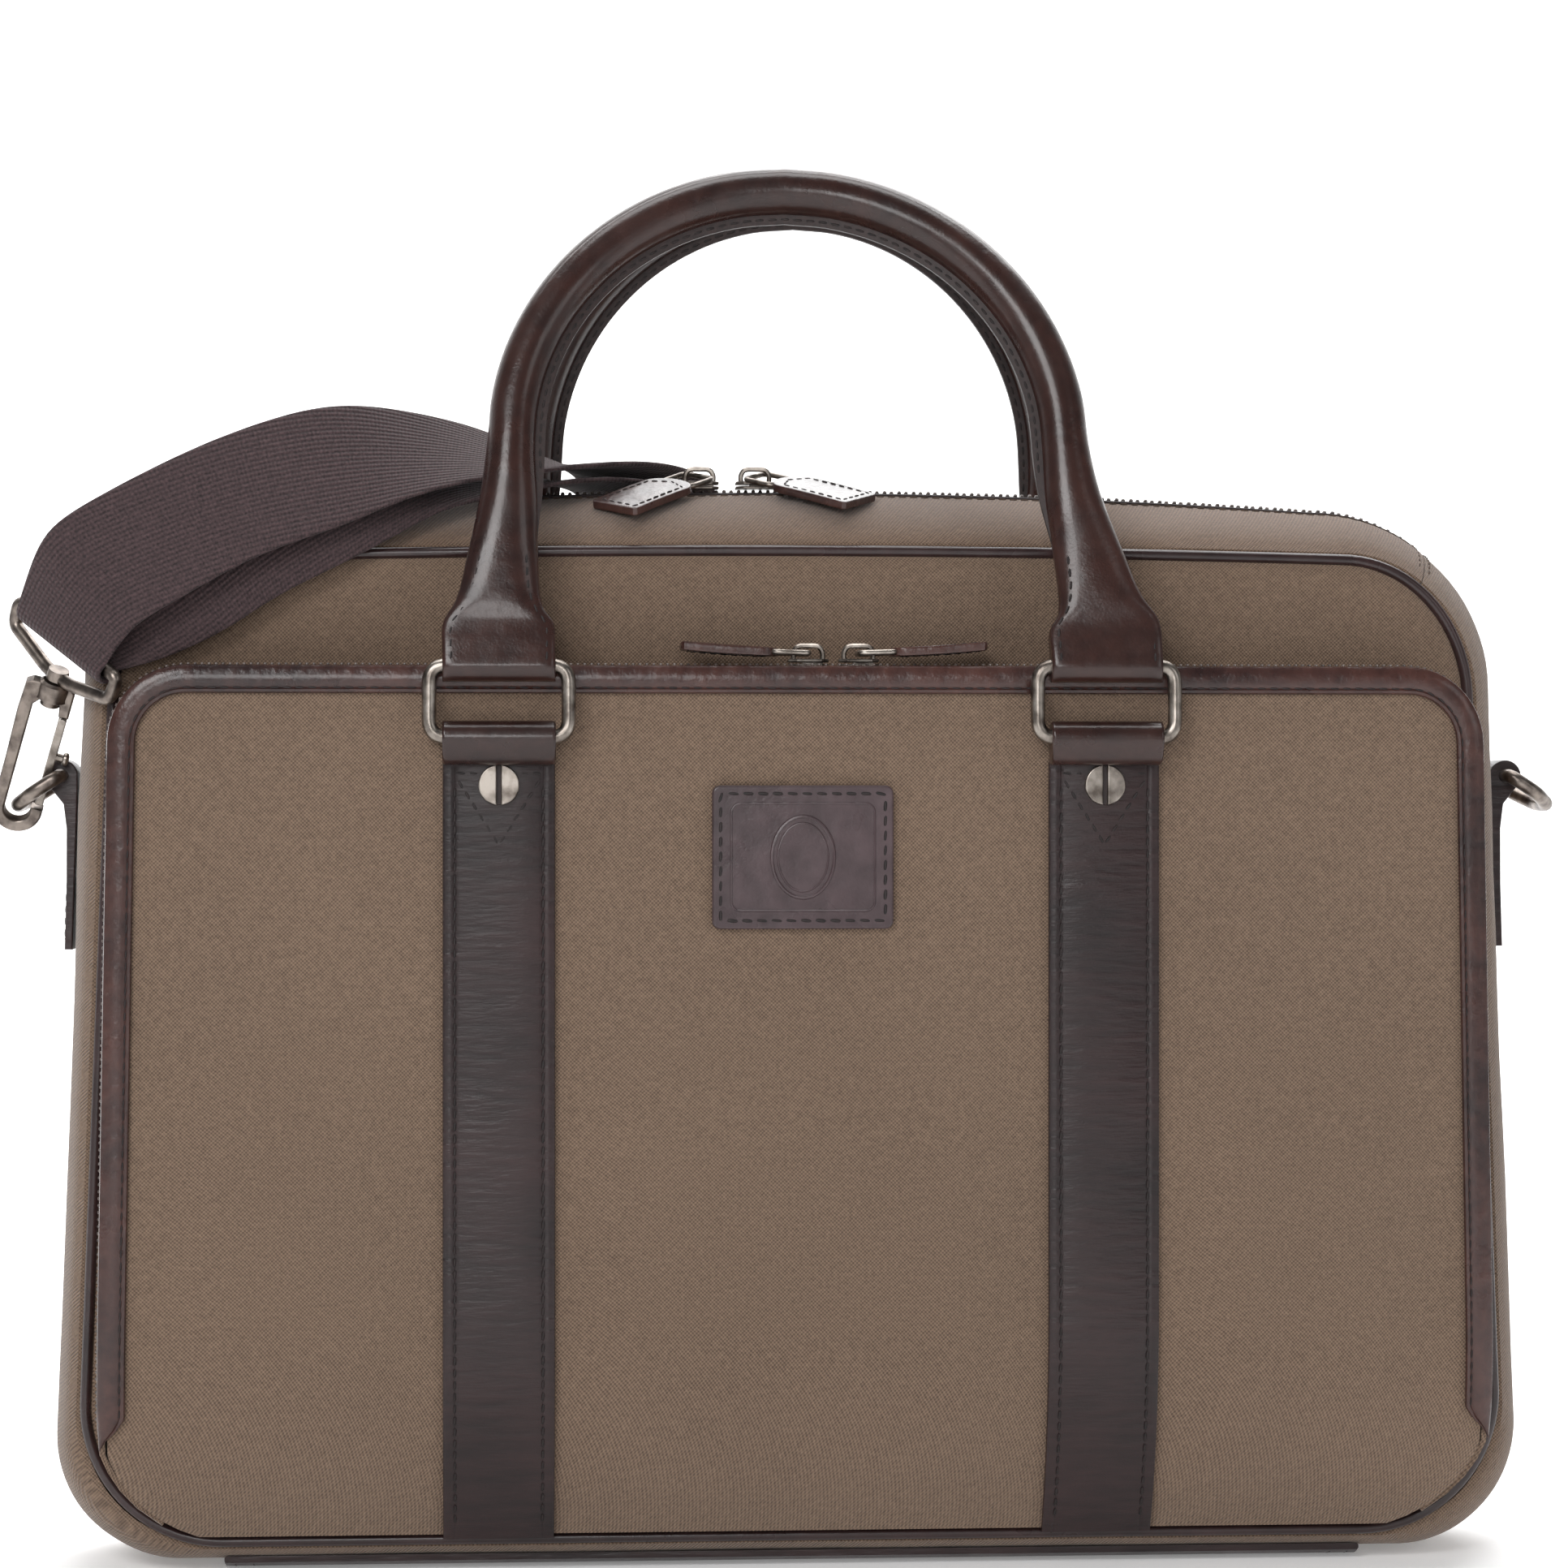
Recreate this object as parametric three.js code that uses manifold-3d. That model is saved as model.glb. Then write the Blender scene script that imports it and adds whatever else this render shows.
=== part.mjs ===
// A canvas and leather briefcase satchel with two rolled handles and a draped shoulder strap.
// Millimetres. +X is the right of the bag as its front is seen, the front faces -Y, and +Z is up.
// The origin is the middle of the base, on the surface that the bag stands on.
import * as THREE from "three";
import { mergeVertices } from "three/addons/utils/BufferGeometryUtils.js";
import Module from "manifold-3d";

const wasm = await Module();
wasm.setup();

// ---------------------------------------------------------------- driving dimensions
const GAP = 0.3; // between pieces that touch
const FRONT = -31; // plane of the main front seam
const BACK = 31; // plane of the back seam
const DEPTH = BACK - FRONT;
const CANVAS = 2.2; // lined, padded canvas panel
const LEATHER = 2.2;

// The seam outline that carries the piping, and the fuller outline of the gusset half way back.
const SEAM = {
  low: 197.5, high: 190, bottom: 8.6, top: 282,
  corner: 38, roundX: 36, roundZ: 40, crown: 2,
};
const BULGE = {
  low: 207.5, high: 200.3, bottom: 2.2, top: 297,
  corner: 34, roundX: 50, roundZ: 50, crown: 5,
};
const STEPS = { bottom: 5, corner: 7, side: 4, round: 7, top: 7 };
const PIPING = 1.6; // radius

const POCKET = { half: 192.5, topHalf: 189.5, top: 250.8, corner: 21, fold: 42, face: -51, flatFrom: 75 };
const POCKET_LOW = { z: 9, y: -34.2 }; // where the pocket front meets the bottom seam
const FOLD_LEVELS = [14, 20, 27, 34, 42, 50, 58, 66, 75]; // heights where the pocket front changes slope
const BINDING = { width: 7.1, thick: 1.1 };

const STRIP = { x: 83.4, width: 30.6, top: 224.8, bottom: 10.5 };
const RING = { width: 38, wire: 2, low: 231.4, high: 251.1, lowY: -58, highY: -57.4, corner: 5 };
const EYE = { hole: 2.4, wall: 4.6, width: 30.6 }; // leather folded round a bar
const SCREW = { radius: 5.6, thick: 2, z: 218.5, slot: 1.4 };
const BADGE = { width: 50, height: 39.5, z: 198.6, corner: 2.2, thick: 2.1 };

const HANDLE = { tube: 6.7, legTop: 313, legX: 76.9, skew: -3 };
const FRONT_ARCH = { apex: 386, lean: 38, bow: 1.15 };
const BACK_ARCH = { apex: 390.8, lean: 9, bow: 2.2 };

const D_RING = { x: 206.3, z: 221, half: 13, depth: 15, wire: 2, droop: 33 };
const WEBBING = { width: 38, thick: 1.6 };

// ---------------------------------------------------------------- materials
const canvas = { color: 0x6e5d4f, roughness: 0.95, metalness: 0 };
const leather = { color: 0x3c2a28, roughness: 0.45, metalness: 0 };
const webbing = { color: 0x3e302e, roughness: 0.9, metalness: 0 };
const nickel = { color: 0xaaa596, roughness: 0.35, metalness: 1 };
const gunmetal = { color: 0x6e6960, roughness: 0.4, metalness: 1 };
const zipTape = { color: 0x2c2324, roughness: 0.8, metalness: 0 };
const board = { color: 0x2a2624, roughness: 0.9, metalness: 0 };

// ---------------------------------------------------------------- helpers
const bag = new THREE.Group();
const at = (x, y, z) => new THREE.Vector3(x, y, z);
const lerp = THREE.MathUtils.lerp;
const radians = THREE.MathUtils.degToRad;

function add(name, geometry, look, parent = bag) {
  const mesh = new THREE.Mesh(geometry, new THREE.MeshStandardMaterial(look));
  mesh.name = name;
  parent.add(mesh);
  return mesh;
}

function volume(points, index) {
  let sum = 0;
  for (let i = 0; i < index.length; i += 3) {
    const cross = new THREE.Vector3().crossVectors(points[index[i + 1]], points[index[i + 2]]);
    sum += points[index[i]].dot(cross);
  }
  return sum;
}

// Triangles of one end of a sweep, in the order of its points.
function capOf(section) {
  const normal = at(0, 0, 0);
  section.forEach((p, i) => {
    normal.add(new THREE.Vector3().crossVectors(p, section[(i + 1) % section.length]));
  });
  normal.normalize();
  const across = section[1].clone().sub(section[0]).normalize();
  const up = new THREE.Vector3().crossVectors(normal, across);
  const flat = section.map((p) => new THREE.Vector2(p.dot(across), p.dot(up)));
  return THREE.ShapeUtils.triangulateShape(flat, []).map(([a, b, c]) => {
    const ab = flat[b].clone().sub(flat[a]);
    const ac = flat[c].clone().sub(flat[a]);
    return ab.cross(ac) < 0 ? [a, c, b] : [a, b, c];
  });
}

// A closed body through a list of sections with equal numbers of points.
function sweep(sections) {
  const sides = sections[0].length;
  const points = sections.flat();
  const index = [];
  for (let i = 0; i < sections.length - 1; i++) {
    const near = i * sides;
    const far = near + sides;
    for (let j = 0; j < sides; j++) {
      const k = (j + 1) % sides;
      index.push(near + j, near + k, far + k, near + j, far + k, far + j);
    }
  }
  const last = (sections.length - 1) * sides;
  capOf(sections[0]).forEach(([a, b, c]) => index.push(a, c, b));
  capOf(sections.at(-1)).forEach(([a, b, c]) => index.push(last + a, last + b, last + c));
  if (volume(points, index) < 0) index.reverse();
  const geometry = new THREE.BufferGeometry().setFromPoints(points);
  geometry.setIndex(index);
  geometry.computeVertexNormals();
  return geometry;
}

function solid(geometry) {
  const bare = geometry.clone();
  bare.deleteAttribute("normal");
  bare.deleteAttribute("uv");
  const merged = mergeVertices(bare, 1e-4);
  return new wasm.Manifold(
    new wasm.Mesh({
      numProp: 3,
      vertProperties: merged.attributes.position.array,
      triVerts: new Uint32Array(merged.index.array),
    }),
  );
}

function shapeOf(manifold) {
  const mesh = manifold.getMesh();
  const geometry = new THREE.BufferGeometry();
  geometry.setAttribute("position", new THREE.BufferAttribute(new Float32Array(mesh.vertProperties), 3));
  geometry.setIndex(new THREE.BufferAttribute(new Uint32Array(mesh.triVerts), 1));
  geometry.computeVertexNormals();
  return geometry;
}

const join = (...geometries) => shapeOf(geometries.map(solid).reduce((all, next) => all.add(next)));
const cut = (geometry, ...tools) => {
  const left = tools.map(solid).reduce((rest, tool) => rest.subtract(tool), solid(geometry));
  return shapeOf(left);
};

// A box between two corners.
function block(x0, x1, y0, y1, z0, z1) {
  const geometry = new THREE.BoxGeometry(x1 - x0, y1 - y0, z1 - z0);
  return geometry.translate((x0 + x1) / 2, (y0 + y1) / 2, (z0 + z1) / 2);
}

// A cylinder from one point to another.
function rod(radius, from, to, sides = 14) {
  const along = to.clone().sub(from);
  const geometry = new THREE.CylinderGeometry(radius, radius, along.length(), sides);
  const turn = new THREE.Quaternion().setFromUnitVectors(at(0, 1, 0), along.normalize());
  geometry.applyQuaternion(turn);
  return geometry.translate(...from.clone().add(to).multiplyScalar(0.5).toArray());
}

// A flat outline in (x, z) made into a plate between two depths.
function plate(shape, y0, y1) {
  const settings = { depth: y1 - y0, bevelEnabled: false, curveSegments: 6 };
  const geometry = new THREE.ExtrudeGeometry(shape, settings);
  return geometry.rotateX(Math.PI / 2).translate(0, y1, 0);
}

function roundedRectangle(width, height, corner) {
  const x = width / 2 - corner;
  const y = height / 2 - corner;
  const shape = new THREE.Shape();
  shape.absarc(x, y, corner, 0, Math.PI / 2);
  shape.absarc(-x, y, corner, Math.PI / 2, Math.PI);
  shape.absarc(-x, -y, corner, Math.PI, Math.PI * 1.5);
  shape.absarc(x, -y, corner, Math.PI * 1.5, Math.PI * 2);
  return shape;
}

// A closed wire loop through the corners given, with each corner rounded.
function wireLoop(corners, rounding, radius, segments = 28, sides = 7) {
  const path = new THREE.CurvePath();
  const toward = (from, to) => from.clone().add(to.clone().sub(from).setLength(rounding));
  corners.forEach((corner, i) => {
    const before = corners[(i + corners.length - 1) % corners.length];
    const after = corners[(i + 1) % corners.length];
    path.add(new THREE.QuadraticBezierCurve3(toward(corner, before), corner, toward(corner, after)));
    path.add(new THREE.LineCurve3(toward(corner, after), toward(after, corner)));
  });
  return new THREE.TubeGeometry(path, segments, radius, sides, true);
}

// ---------------------------------------------------------------- outlines of the main body
// Half of an outline, from the middle of the bottom round to the middle of the top.
function halfOutline(size, inset) {
  const low = size.low - inset;
  const high = size.high - inset;
  const bottom = size.bottom + inset;
  const top = size.top - inset;
  const corner = size.corner - inset;
  const roundX = size.roundX - inset;
  const roundZ = size.roundZ - inset;
  const points = [];
  for (let i = 0; i <= STEPS.bottom; i++) {
    points.push([((low - corner) * i) / STEPS.bottom, bottom]);
  }
  for (let i = 1; i <= STEPS.corner; i++) {
    const turn = (Math.PI / 2) * (i / STEPS.corner);
    points.push([low - corner + corner * Math.sin(turn), bottom + corner - corner * Math.cos(turn)]);
  }
  for (let i = 1; i <= STEPS.side; i++) {
    const t = i / STEPS.side;
    points.push([lerp(low, high, t), lerp(bottom + corner, top - roundZ, t)]);
  }
  for (let i = 1; i <= STEPS.round; i++) {
    const turn = (Math.PI / 2) * (i / STEPS.round);
    points.push([high - roundX + roundX * Math.cos(turn), top - roundZ + roundZ * Math.sin(turn)]);
  }
  for (let i = 1; i <= STEPS.top; i++) {
    const t = 1 - i / STEPS.top;
    points.push([(high - roundX) * t, top + size.crown * (1 - t * t)]);
  }
  return points;
}

const HALF_COUNT = STEPS.bottom + STEPS.corner + STEPS.side + STEPS.round + STEPS.top;

// Point number i of an outline, counted from the middle of the bottom: positive to +X, negative to -X.
function outlinePoint(size, i, inset) {
  const [x, z] = halfOutline(size, inset)[Math.abs(i)];
  return [Math.sign(i) * x, z];
}

// How full the gusset stands at a depth v (0 front seam, 1 back seam).
// It is flat in the middle and round at the seams.
function fullness(i, v) {
  const past = Math.abs(i);
  const low = THREE.MathUtils.clamp(1 - (past - STEPS.bottom) / STEPS.corner, 0, 1);
  const roundStart = STEPS.bottom + STEPS.corner + STEPS.side;
  const high = THREE.MathUtils.clamp((past - roundStart) / STEPS.round, 0, 1);
  const flat = 0.15 + 0.47 * low - 0.15 * high;
  const power = 2.2 - 0.2 * low - 0.6 * high;
  const s = Math.max(0, (Math.abs(2 * v - 1) - flat) / (1 - flat));
  return (1 - s ** power) ** (1 / power);
}

function gussetPoint(i, v, inset) {
  const [seamX, seamZ] = outlinePoint(SEAM, i, inset);
  const [fullX, fullZ] = outlinePoint(BULGE, i, inset);
  const out = fullness(i, v);
  return at(lerp(seamX, fullX, out), FRONT + DEPTH * v, lerp(seamZ, fullZ, out));
}

// A strip of gusset between two outline numbers and two depths.
function gussetBand(first, last, v0, v1, outer, inner, across = 7) {
  const sections = [];
  for (let i = first; i <= last; i++) {
    const section = [];
    for (let j = 0; j <= across; j++) section.push(gussetPoint(i, lerp(v0, v1, j / across), outer));
    for (let j = across; j >= 0; j--) section.push(gussetPoint(i, lerp(v0, v1, j / across), inner));
    sections.push(section);
  }
  return sections;
}

// ---------------------------------------------------------------- main body
const SEAM_CLEAR = 0.035; // share of the depth that the piping takes at each seam
const ZIP_SHARE = 0.085; // half the zip tape, as a share of the depth
const TOP_START = STEPS.bottom + STEPS.corner + STEPS.side + 4; // where the side gusset meets the top one

function panel(inset, y0, y1) {
  const shape = new THREE.Shape();
  for (let i = -HALF_COUNT + 1; i <= HALF_COUNT; i++) {
    const [x, z] = outlinePoint(SEAM, i, inset);
    if (i === -HALF_COUNT + 1) shape.moveTo(x, z);
    else shape.lineTo(x, z);
  }
  return plate(shape, y0, y1);
}

function pipingLoop(y) {
  const points = [];
  for (let i = -HALF_COUNT + 1; i <= HALF_COUNT; i++) {
    const [x, z] = outlinePoint(SEAM, i, 0);
    points.push(at(x, y, z));
  }
  const loop = new THREE.CatmullRomCurve3(points, true, "centripetal");
  return new THREE.TubeGeometry(loop, 72, PIPING, 6, true);
}

function mirrored(sections) {
  return sections.map((section) => section.map((p) => at(p.x, -p.y, p.z)));
}

// The top strips run from one round corner over the top to the other, as one sweep.
function topBand(v0, v1, outer, inner, across) {
  const right = gussetBand(TOP_START, HALF_COUNT, v0, v1, outer, inner, across);
  // The ends stop just short of the side gusset.
  right[0].forEach((p, j) => p.lerp(right[1][j], 0.1));
  const left = right.slice(0, -1).map((section) => section.map((p) => at(-p.x, p.y, p.z)));
  return right.concat(left.reverse());
}

function mainBody() {
  const clear = PIPING + 1.1;
  add("main_front_panel", panel(clear, FRONT - 1.1, FRONT + 1.1), canvas);
  add("main_back_panel", panel(clear, BACK - 1.1, BACK + 1.1), canvas);
  add("piping_front", pipingLoop(FRONT), leather);
  add("piping_back", pipingLoop(BACK), leather);
  const side = gussetBand(-TOP_START, TOP_START, SEAM_CLEAR, 1 - SEAM_CLEAR, 0, CANVAS);
  add("body_gusset", sweep(side), canvas);
  const front = topBand(SEAM_CLEAR, 0.5 - ZIP_SHARE, 0, CANVAS, 4);
  add("top_gusset_front", sweep(front), canvas);
  add("top_gusset_back", sweep(mirrored(front)), canvas);
  const tape = topBand(0.5 - ZIP_SHARE + 0.006, 0.5 + ZIP_SHARE - 0.006, -0.8, 1.4, 3);
  add("main_zip_chain", sweep(tape), zipTape);
}

// The leather patch under the base, with its long edges turned up to the seams.
function baseLeather() {
  const reach = 159.5;
  const section = (x) => {
    const outer = [];
    const inner = [];
    for (let j = 0; j <= 12; j++) {
      const v = lerp(0.05, 0.95, j / 12);
      const z = lerp(SEAM.bottom, BULGE.bottom, fullness(0, v));
      outer.push(at(x, FRONT + DEPTH * v, z - BULGE.bottom));
      inner.unshift(at(x, FRONT + DEPTH * v, z - GAP - 0.1));
    }
    return outer.concat(inner);
  };
  add("base_leather", sweep([section(-reach), section(0), section(reach)]), leather);
  add("base_board", block(-155, 155, -22, 22, 5.2, 7.6), board);
  add("inner_divider", block(-182, 182, 14, 17, 12, 262), canvas);
}

// ---------------------------------------------------------------- front pocket
// Depth of the pocket's front at a height: straight between the fold levels.
function pocketFace(z) {
  if (z >= POCKET.flatFrom) return POCKET.face;
  const smooth = (level) => {
    const t = (level - POCKET_LOW.z) / (POCKET.flatFrom - POCKET_LOW.z);
    return lerp(POCKET.face, POCKET_LOW.y, (1 - t) ** 2.2);
  };
  const above = FOLD_LEVELS.find((level) => level > z);
  const below = FOLD_LEVELS.findLast((level) => level <= z) ?? POCKET_LOW.z;
  return lerp(smooth(below), smooth(above), (z - below) / (above - below));
}

function pocketHalf(z, inset = 0) {
  const arcZ = POCKET.top - POCKET.corner;
  const radius = POCKET.corner - inset;
  if (z > arcZ) {
    const rise = Math.min(z - arcZ, radius);
    return POCKET.topHalf - POCKET.corner + Math.sqrt(radius * radius - rise * rise);
  }
  const side = lerp(POCKET.half, POCKET.topHalf, Math.max(0, z - POCKET.fold) / (arcZ - POCKET.fold));
  const drop = Math.max(0, SEAM.bottom + SEAM.corner - z);
  const seam = SEAM.low - SEAM.corner + Math.sqrt(SEAM.corner ** 2 - drop ** 2);
  return Math.min(side, seam - 3) - inset;
}

// The pocket's edge from the lower left up and over to the lower right, as points with outward normals.
function pocketEdge(lowest) {
  const arcZ = POCKET.top - POCKET.corner;
  const heights = [lowest, ...FOLD_LEVELS.filter((z) => z > lowest + 1), 150, arcZ];
  const half = heights.map((z) => ({ x: pocketHalf(z), z }));
  for (let i = 1; i <= 6; i++) {
    const turn = (Math.PI / 2) * (i / 6);
    const x = POCKET.topHalf - POCKET.corner + POCKET.corner * Math.cos(turn);
    half.push({ x, z: arcZ + POCKET.corner * Math.sin(turn) });
  }
  half.push({ x: 84, z: POCKET.top });
  const left = half.map(({ x, z }) => ({ x: -x, z }));
  const all = [...left, { x: 0, z: POCKET.top }, ...half.reverse()];
  return all.map((point, i) => {
    const a = all[Math.max(0, i - 1)];
    const b = all[Math.min(all.length - 1, i + 1)];
    const length = Math.hypot(b.x - a.x, b.z - a.z);
    return { ...point, nx: -(b.z - a.z) / length, nz: (b.x - a.x) / length };
  });
}

// A band along the pocket's edge: from the edge inwards by width, between two depths that follow the face.
function edgeBand(edge, width, nearY, farY) {
  return edge.map((p, i) => {
    const inward = typeof width === "function" ? width(p, i) : width;
    const x = p.x - p.nx * inward;
    const z = p.z - p.nz * inward;
    return [at(p.x, nearY(p.z), p.z), at(x, nearY(p.z), z), at(x, farY(p.z), z), at(p.x, farY(p.z), p.z)];
  });
}

function slab(levels, halfWidth, frontY, thick, middle = 0) {
  return sweep(levels.map((z) => {
    const half = halfWidth(z);
    const y = frontY(z);
    return [
      at(middle - half, y, z),
      at(middle + half, y, z),
      at(middle + half, y + thick, z),
      at(middle - half, y + thick, z),
    ];
  }));
}

function pocket(flap) {
  const arcZ = POCKET.top - POCKET.corner;
  const inset = 2.2;
  const levels = [POCKET.fold + GAP, ...FOLD_LEVELS.filter((z) => z > POCKET.fold), 150, arcZ];
  for (let i = 1; i <= 7; i++) {
    const turn = (Math.PI / 2) * (i / 7.6);
    levels.push(arcZ + (POCKET.corner - inset) * Math.sin(turn));
  }
  add("pocket_panel", slab(levels, (z) => pocketHalf(z, inset), pocketFace, CANVAS), canvas, flap);

  const lower = [STRIP.bottom, ...FOLD_LEVELS.filter((z) => z < POCKET.fold), POCKET.fold - GAP];
  add("pocket_lower_front", slab(lower, (z) => pocketHalf(z, inset), pocketFace, CANVAS), canvas);

  const room = (z) => FRONT - 1.7 - pocketFace(z);
  const gussetStart = (z) => pocketFace(z) + Math.min(6, 0.45 * room(z));
  const wall = edgeBand(pocketEdge(FOLD_LEVELS[0]), 1.5, gussetStart, () => FRONT - 1.7);
  add("pocket_gusset", sweep(wall), canvas);

  const upperEdge = pocketEdge(POCKET.fold + 2);
  const chainEnd = (z) => pocketFace(z) + Math.min(5.6, 0.45 * room(z) - 0.4);
  const chain = edgeBand(upperEdge, 1.6, (z) => pocketFace(z) + 0.5, chainEnd);
  add("pocket_zip_chain", sweep(chain), zipTape);

  const taper = (p, i) => (i === 0 || i === upperEdge.length - 1 ? 3 : BINDING.width);
  const bindingBack = (z) => pocketFace(z) - GAP;
  const binding = edgeBand(upperEdge, taper, (z) => bindingBack(z) - BINDING.thick, bindingBack);
  add("pocket_binding", sweep(binding), leather, flap);
}

// ---------------------------------------------------------------- leather strips, loops, screws, badge
// Side is -1 or 1. Back pieces are the front ones turned to the back panel.
const BACK_SHIFT = POCKET.face - (FRONT - 1.1); // the back panel has no pocket in front of it
const toBack = (geometry) => {
  geometry.translate(0, -BACK_SHIFT, 0);
  return geometry.rotateZ(Math.PI);
};

function loopGeometry() {
  const tail = new THREE.Shape();
  const y = RING.lowY;
  tail.moveTo(y + EYE.wall, STRIP.top + GAP);
  tail.lineTo(y + EYE.wall, RING.low);
  tail.absarc(y, RING.low, EYE.wall, 0, Math.PI, false);
  tail.lineTo(y + 0.6, STRIP.top + GAP);
  const hole = new THREE.Path();
  hole.absarc(y, RING.low, EYE.hole, 0, Math.PI * 2, true);
  tail.holes.push(hole);
  const settings = { depth: EYE.width, bevelEnabled: false, curveSegments: 9 };
  const geometry = new THREE.ExtrudeGeometry(tail, settings);
  // The outline is drawn in (y, z): turn it so that its depth runs along X.
  const turn = new THREE.Matrix4().makeBasis(at(0, 1, 0), at(0, 0, 1), at(1, 0, 0));
  return geometry.applyMatrix4(turn).translate(-EYE.width / 2, 0, 0);
}

function screwGeometry() {
  const back = POCKET.face - GAP - LEATHER - GAP;
  const head = new THREE.LatheGeometry(
    [
      new THREE.Vector2(0, 0),
      new THREE.Vector2(SCREW.radius, 0),
      new THREE.Vector2(SCREW.radius, SCREW.thick * 0.55),
      new THREE.Vector2(SCREW.radius * 0.75, SCREW.thick),
      new THREE.Vector2(0, SCREW.thick),
    ],
    18,
  );
  head.rotateX(Math.PI).translate(0, back, SCREW.z);
  const outer = back - SCREW.thick;
  const slot = block(-SCREW.slot / 2, SCREW.slot / 2, outer - 1, outer + 0.9, SCREW.z - 7, SCREW.z + 7);
  return cut(head, slot);
}

function hardware(flap) {
  const half = () => STRIP.width / 2;
  for (const [word, side] of [["left", -1], ["right", 1]]) {
    const x = side * STRIP.x;
    const stripY = (z) => pocketFace(z) - GAP - LEATHER;
    const upper = [POCKET.fold + GAP, ...FOLD_LEVELS.filter((z) => z > POCKET.fold), STRIP.top];
    add(`front_strip_${word}`, slab(upper, half, stripY, LEATHER, x), leather, flap);
    const lower = [STRIP.bottom, ...FOLD_LEVELS.filter((z) => z < POCKET.fold), POCKET.fold - GAP];
    add(`front_strip_lower_${word}`, slab(lower, half, stripY, LEATHER, x), leather);
    add(`front_loop_${word}`, loopGeometry().translate(x, 0, 0), leather, flap);
    add(`front_screw_${word}`, screwGeometry().translate(x, 0, 0), nickel, flap);

    const backY = () => BACK + 1.1 + GAP;
    add(`back_strip_${word}`, slab([STRIP.bottom + 3, STRIP.top], half, backY, LEATHER, x), leather);
    add(`back_loop_${word}`, toBack(loopGeometry()).translate(x, 0, 0), leather);
    add(`back_screw_${word}`, toBack(screwGeometry()).translate(x, 0, 0), nickel);
  }
  const shape = roundedRectangle(BADGE.width, BADGE.height, BADGE.corner);
  const face = POCKET.face - GAP;
  add("badge", plate(shape, face - BADGE.thick, face).translate(0, 0, BADGE.z), leather, flap);
}

// ---------------------------------------------------------------- rings and handles
function ringGeometry() {
  const x = RING.width / 2;
  const corners = [
    at(-x, RING.lowY, RING.low),
    at(x, RING.lowY, RING.low),
    at(x, RING.highY, RING.high),
    at(-x, RING.highY, RING.high),
  ];
  return wireLoop(corners, RING.corner, RING.wire, 24, 7);
}

// One section of the handle: half width across the arch, half thickness through it, and how square it is.
function handleSection(centre, along, wide, thick, square) {
  const through = at(0, 1, 0).addScaledVector(along, -along.y).normalize();
  const across = new THREE.Vector3().crossVectors(along, through);
  const section = [];
  for (let j = 0; j < 12; j++) {
    const turn = (Math.PI * 2 * (j + 0.5)) / 12;
    const power = 2 / square;
    const c = Math.sign(Math.cos(turn)) * Math.abs(Math.cos(turn)) ** power;
    const s = Math.sign(Math.sin(turn)) * Math.abs(Math.sin(turn)) ** power;
    section.push(centre.clone().addScaledVector(across, wide * c).addScaledVector(through, thick * s));
  }
  return section;
}

function handleGeometry(arch) {
  const rise = (z) => Math.max(0, z - RING.high) / (arch.apex - RING.high);
  const depthAt = (z) => RING.highY + arch.lean * rise(z) ** arch.bow;
  const shift = (z) => HANDLE.skew * THREE.MathUtils.smoothstep(z, RING.high, HANDLE.legTop);
  // Height, half width, half thickness and squareness of the leg from the fold round the ring to the tube.
  const leg = [
    [RING.high - 4.5, 15.4, 1.6, 9],
    [RING.high - 3.2, 15.4, 3.4, 9],
    [RING.high, 15.4, EYE.wall, 9],
    [RING.high + 4, 15.4, 4.1, 9],
    [RING.high + 11, 15.2, 3.2, 6],
    [RING.high + 17, 11.9, 4.2, 3],
    [RING.high + 31, 9.6, 5.2, 2.2],
    [RING.high + 46, 8, 6.3, 2],
  ];
  const spine = [];
  for (const [z, wide, thick, square] of leg) {
    const out = lerp(STRIP.x, HANDLE.legX, THREE.MathUtils.smoothstep(z, RING.high + 6, HANDLE.legTop));
    spine.push({ x: out, z, wide, thick, square });
  }
  const turns = 18;
  for (let i = 0; i <= turns / 2; i++) {
    const turn = (Math.PI * i) / turns;
    const z = HANDLE.legTop + (arch.apex - HANDLE.legTop) * Math.sin(turn);
    spine.push({ x: HANDLE.legX * Math.cos(turn), z, wide: HANDLE.tube, thick: HANDLE.tube, square: 2 });
  }
  const left = spine.slice(0, -1).map((s) => ({ ...s, x: -s.x }));
  const all = spine.concat(left.reverse());
  const centres = all.map((s) => at(s.x + shift(s.z), depthAt(s.z), s.z));
  const sections = all.map((s, i) => {
    const along = centres[Math.min(i + 1, all.length - 1)].clone().sub(centres[Math.max(i - 1, 0)]);
    // The folded ends stand straight up from the rings.
    if (s.z < RING.high + 5) along.set(0, 0, Math.sign(along.z));
    return handleSection(centres[i], along.normalize(), s.wide, s.thick, s.square);
  });
  const holes = [-1, 1].map((side) => {
    const from = at(side * STRIP.x - 20, RING.highY, RING.high);
    return rod(EYE.hole, from, from.clone().setX(side * STRIP.x + 20));
  });
  return cut(sweep(sections), ...holes);
}

function handles() {
  for (const [word, side] of [["left", -1], ["right", 1]]) {
    add(`front_ring_${word}`, ringGeometry().translate(side * STRIP.x, 0, 0), nickel);
    add(`back_ring_${word}`, toBack(ringGeometry()).translate(side * STRIP.x, 0, 0), nickel);
  }
  add("front_handle", handleGeometry(FRONT_ARCH), leather);
  add("back_handle", toBack(handleGeometry(BACK_ARCH)), leather);
}

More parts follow.
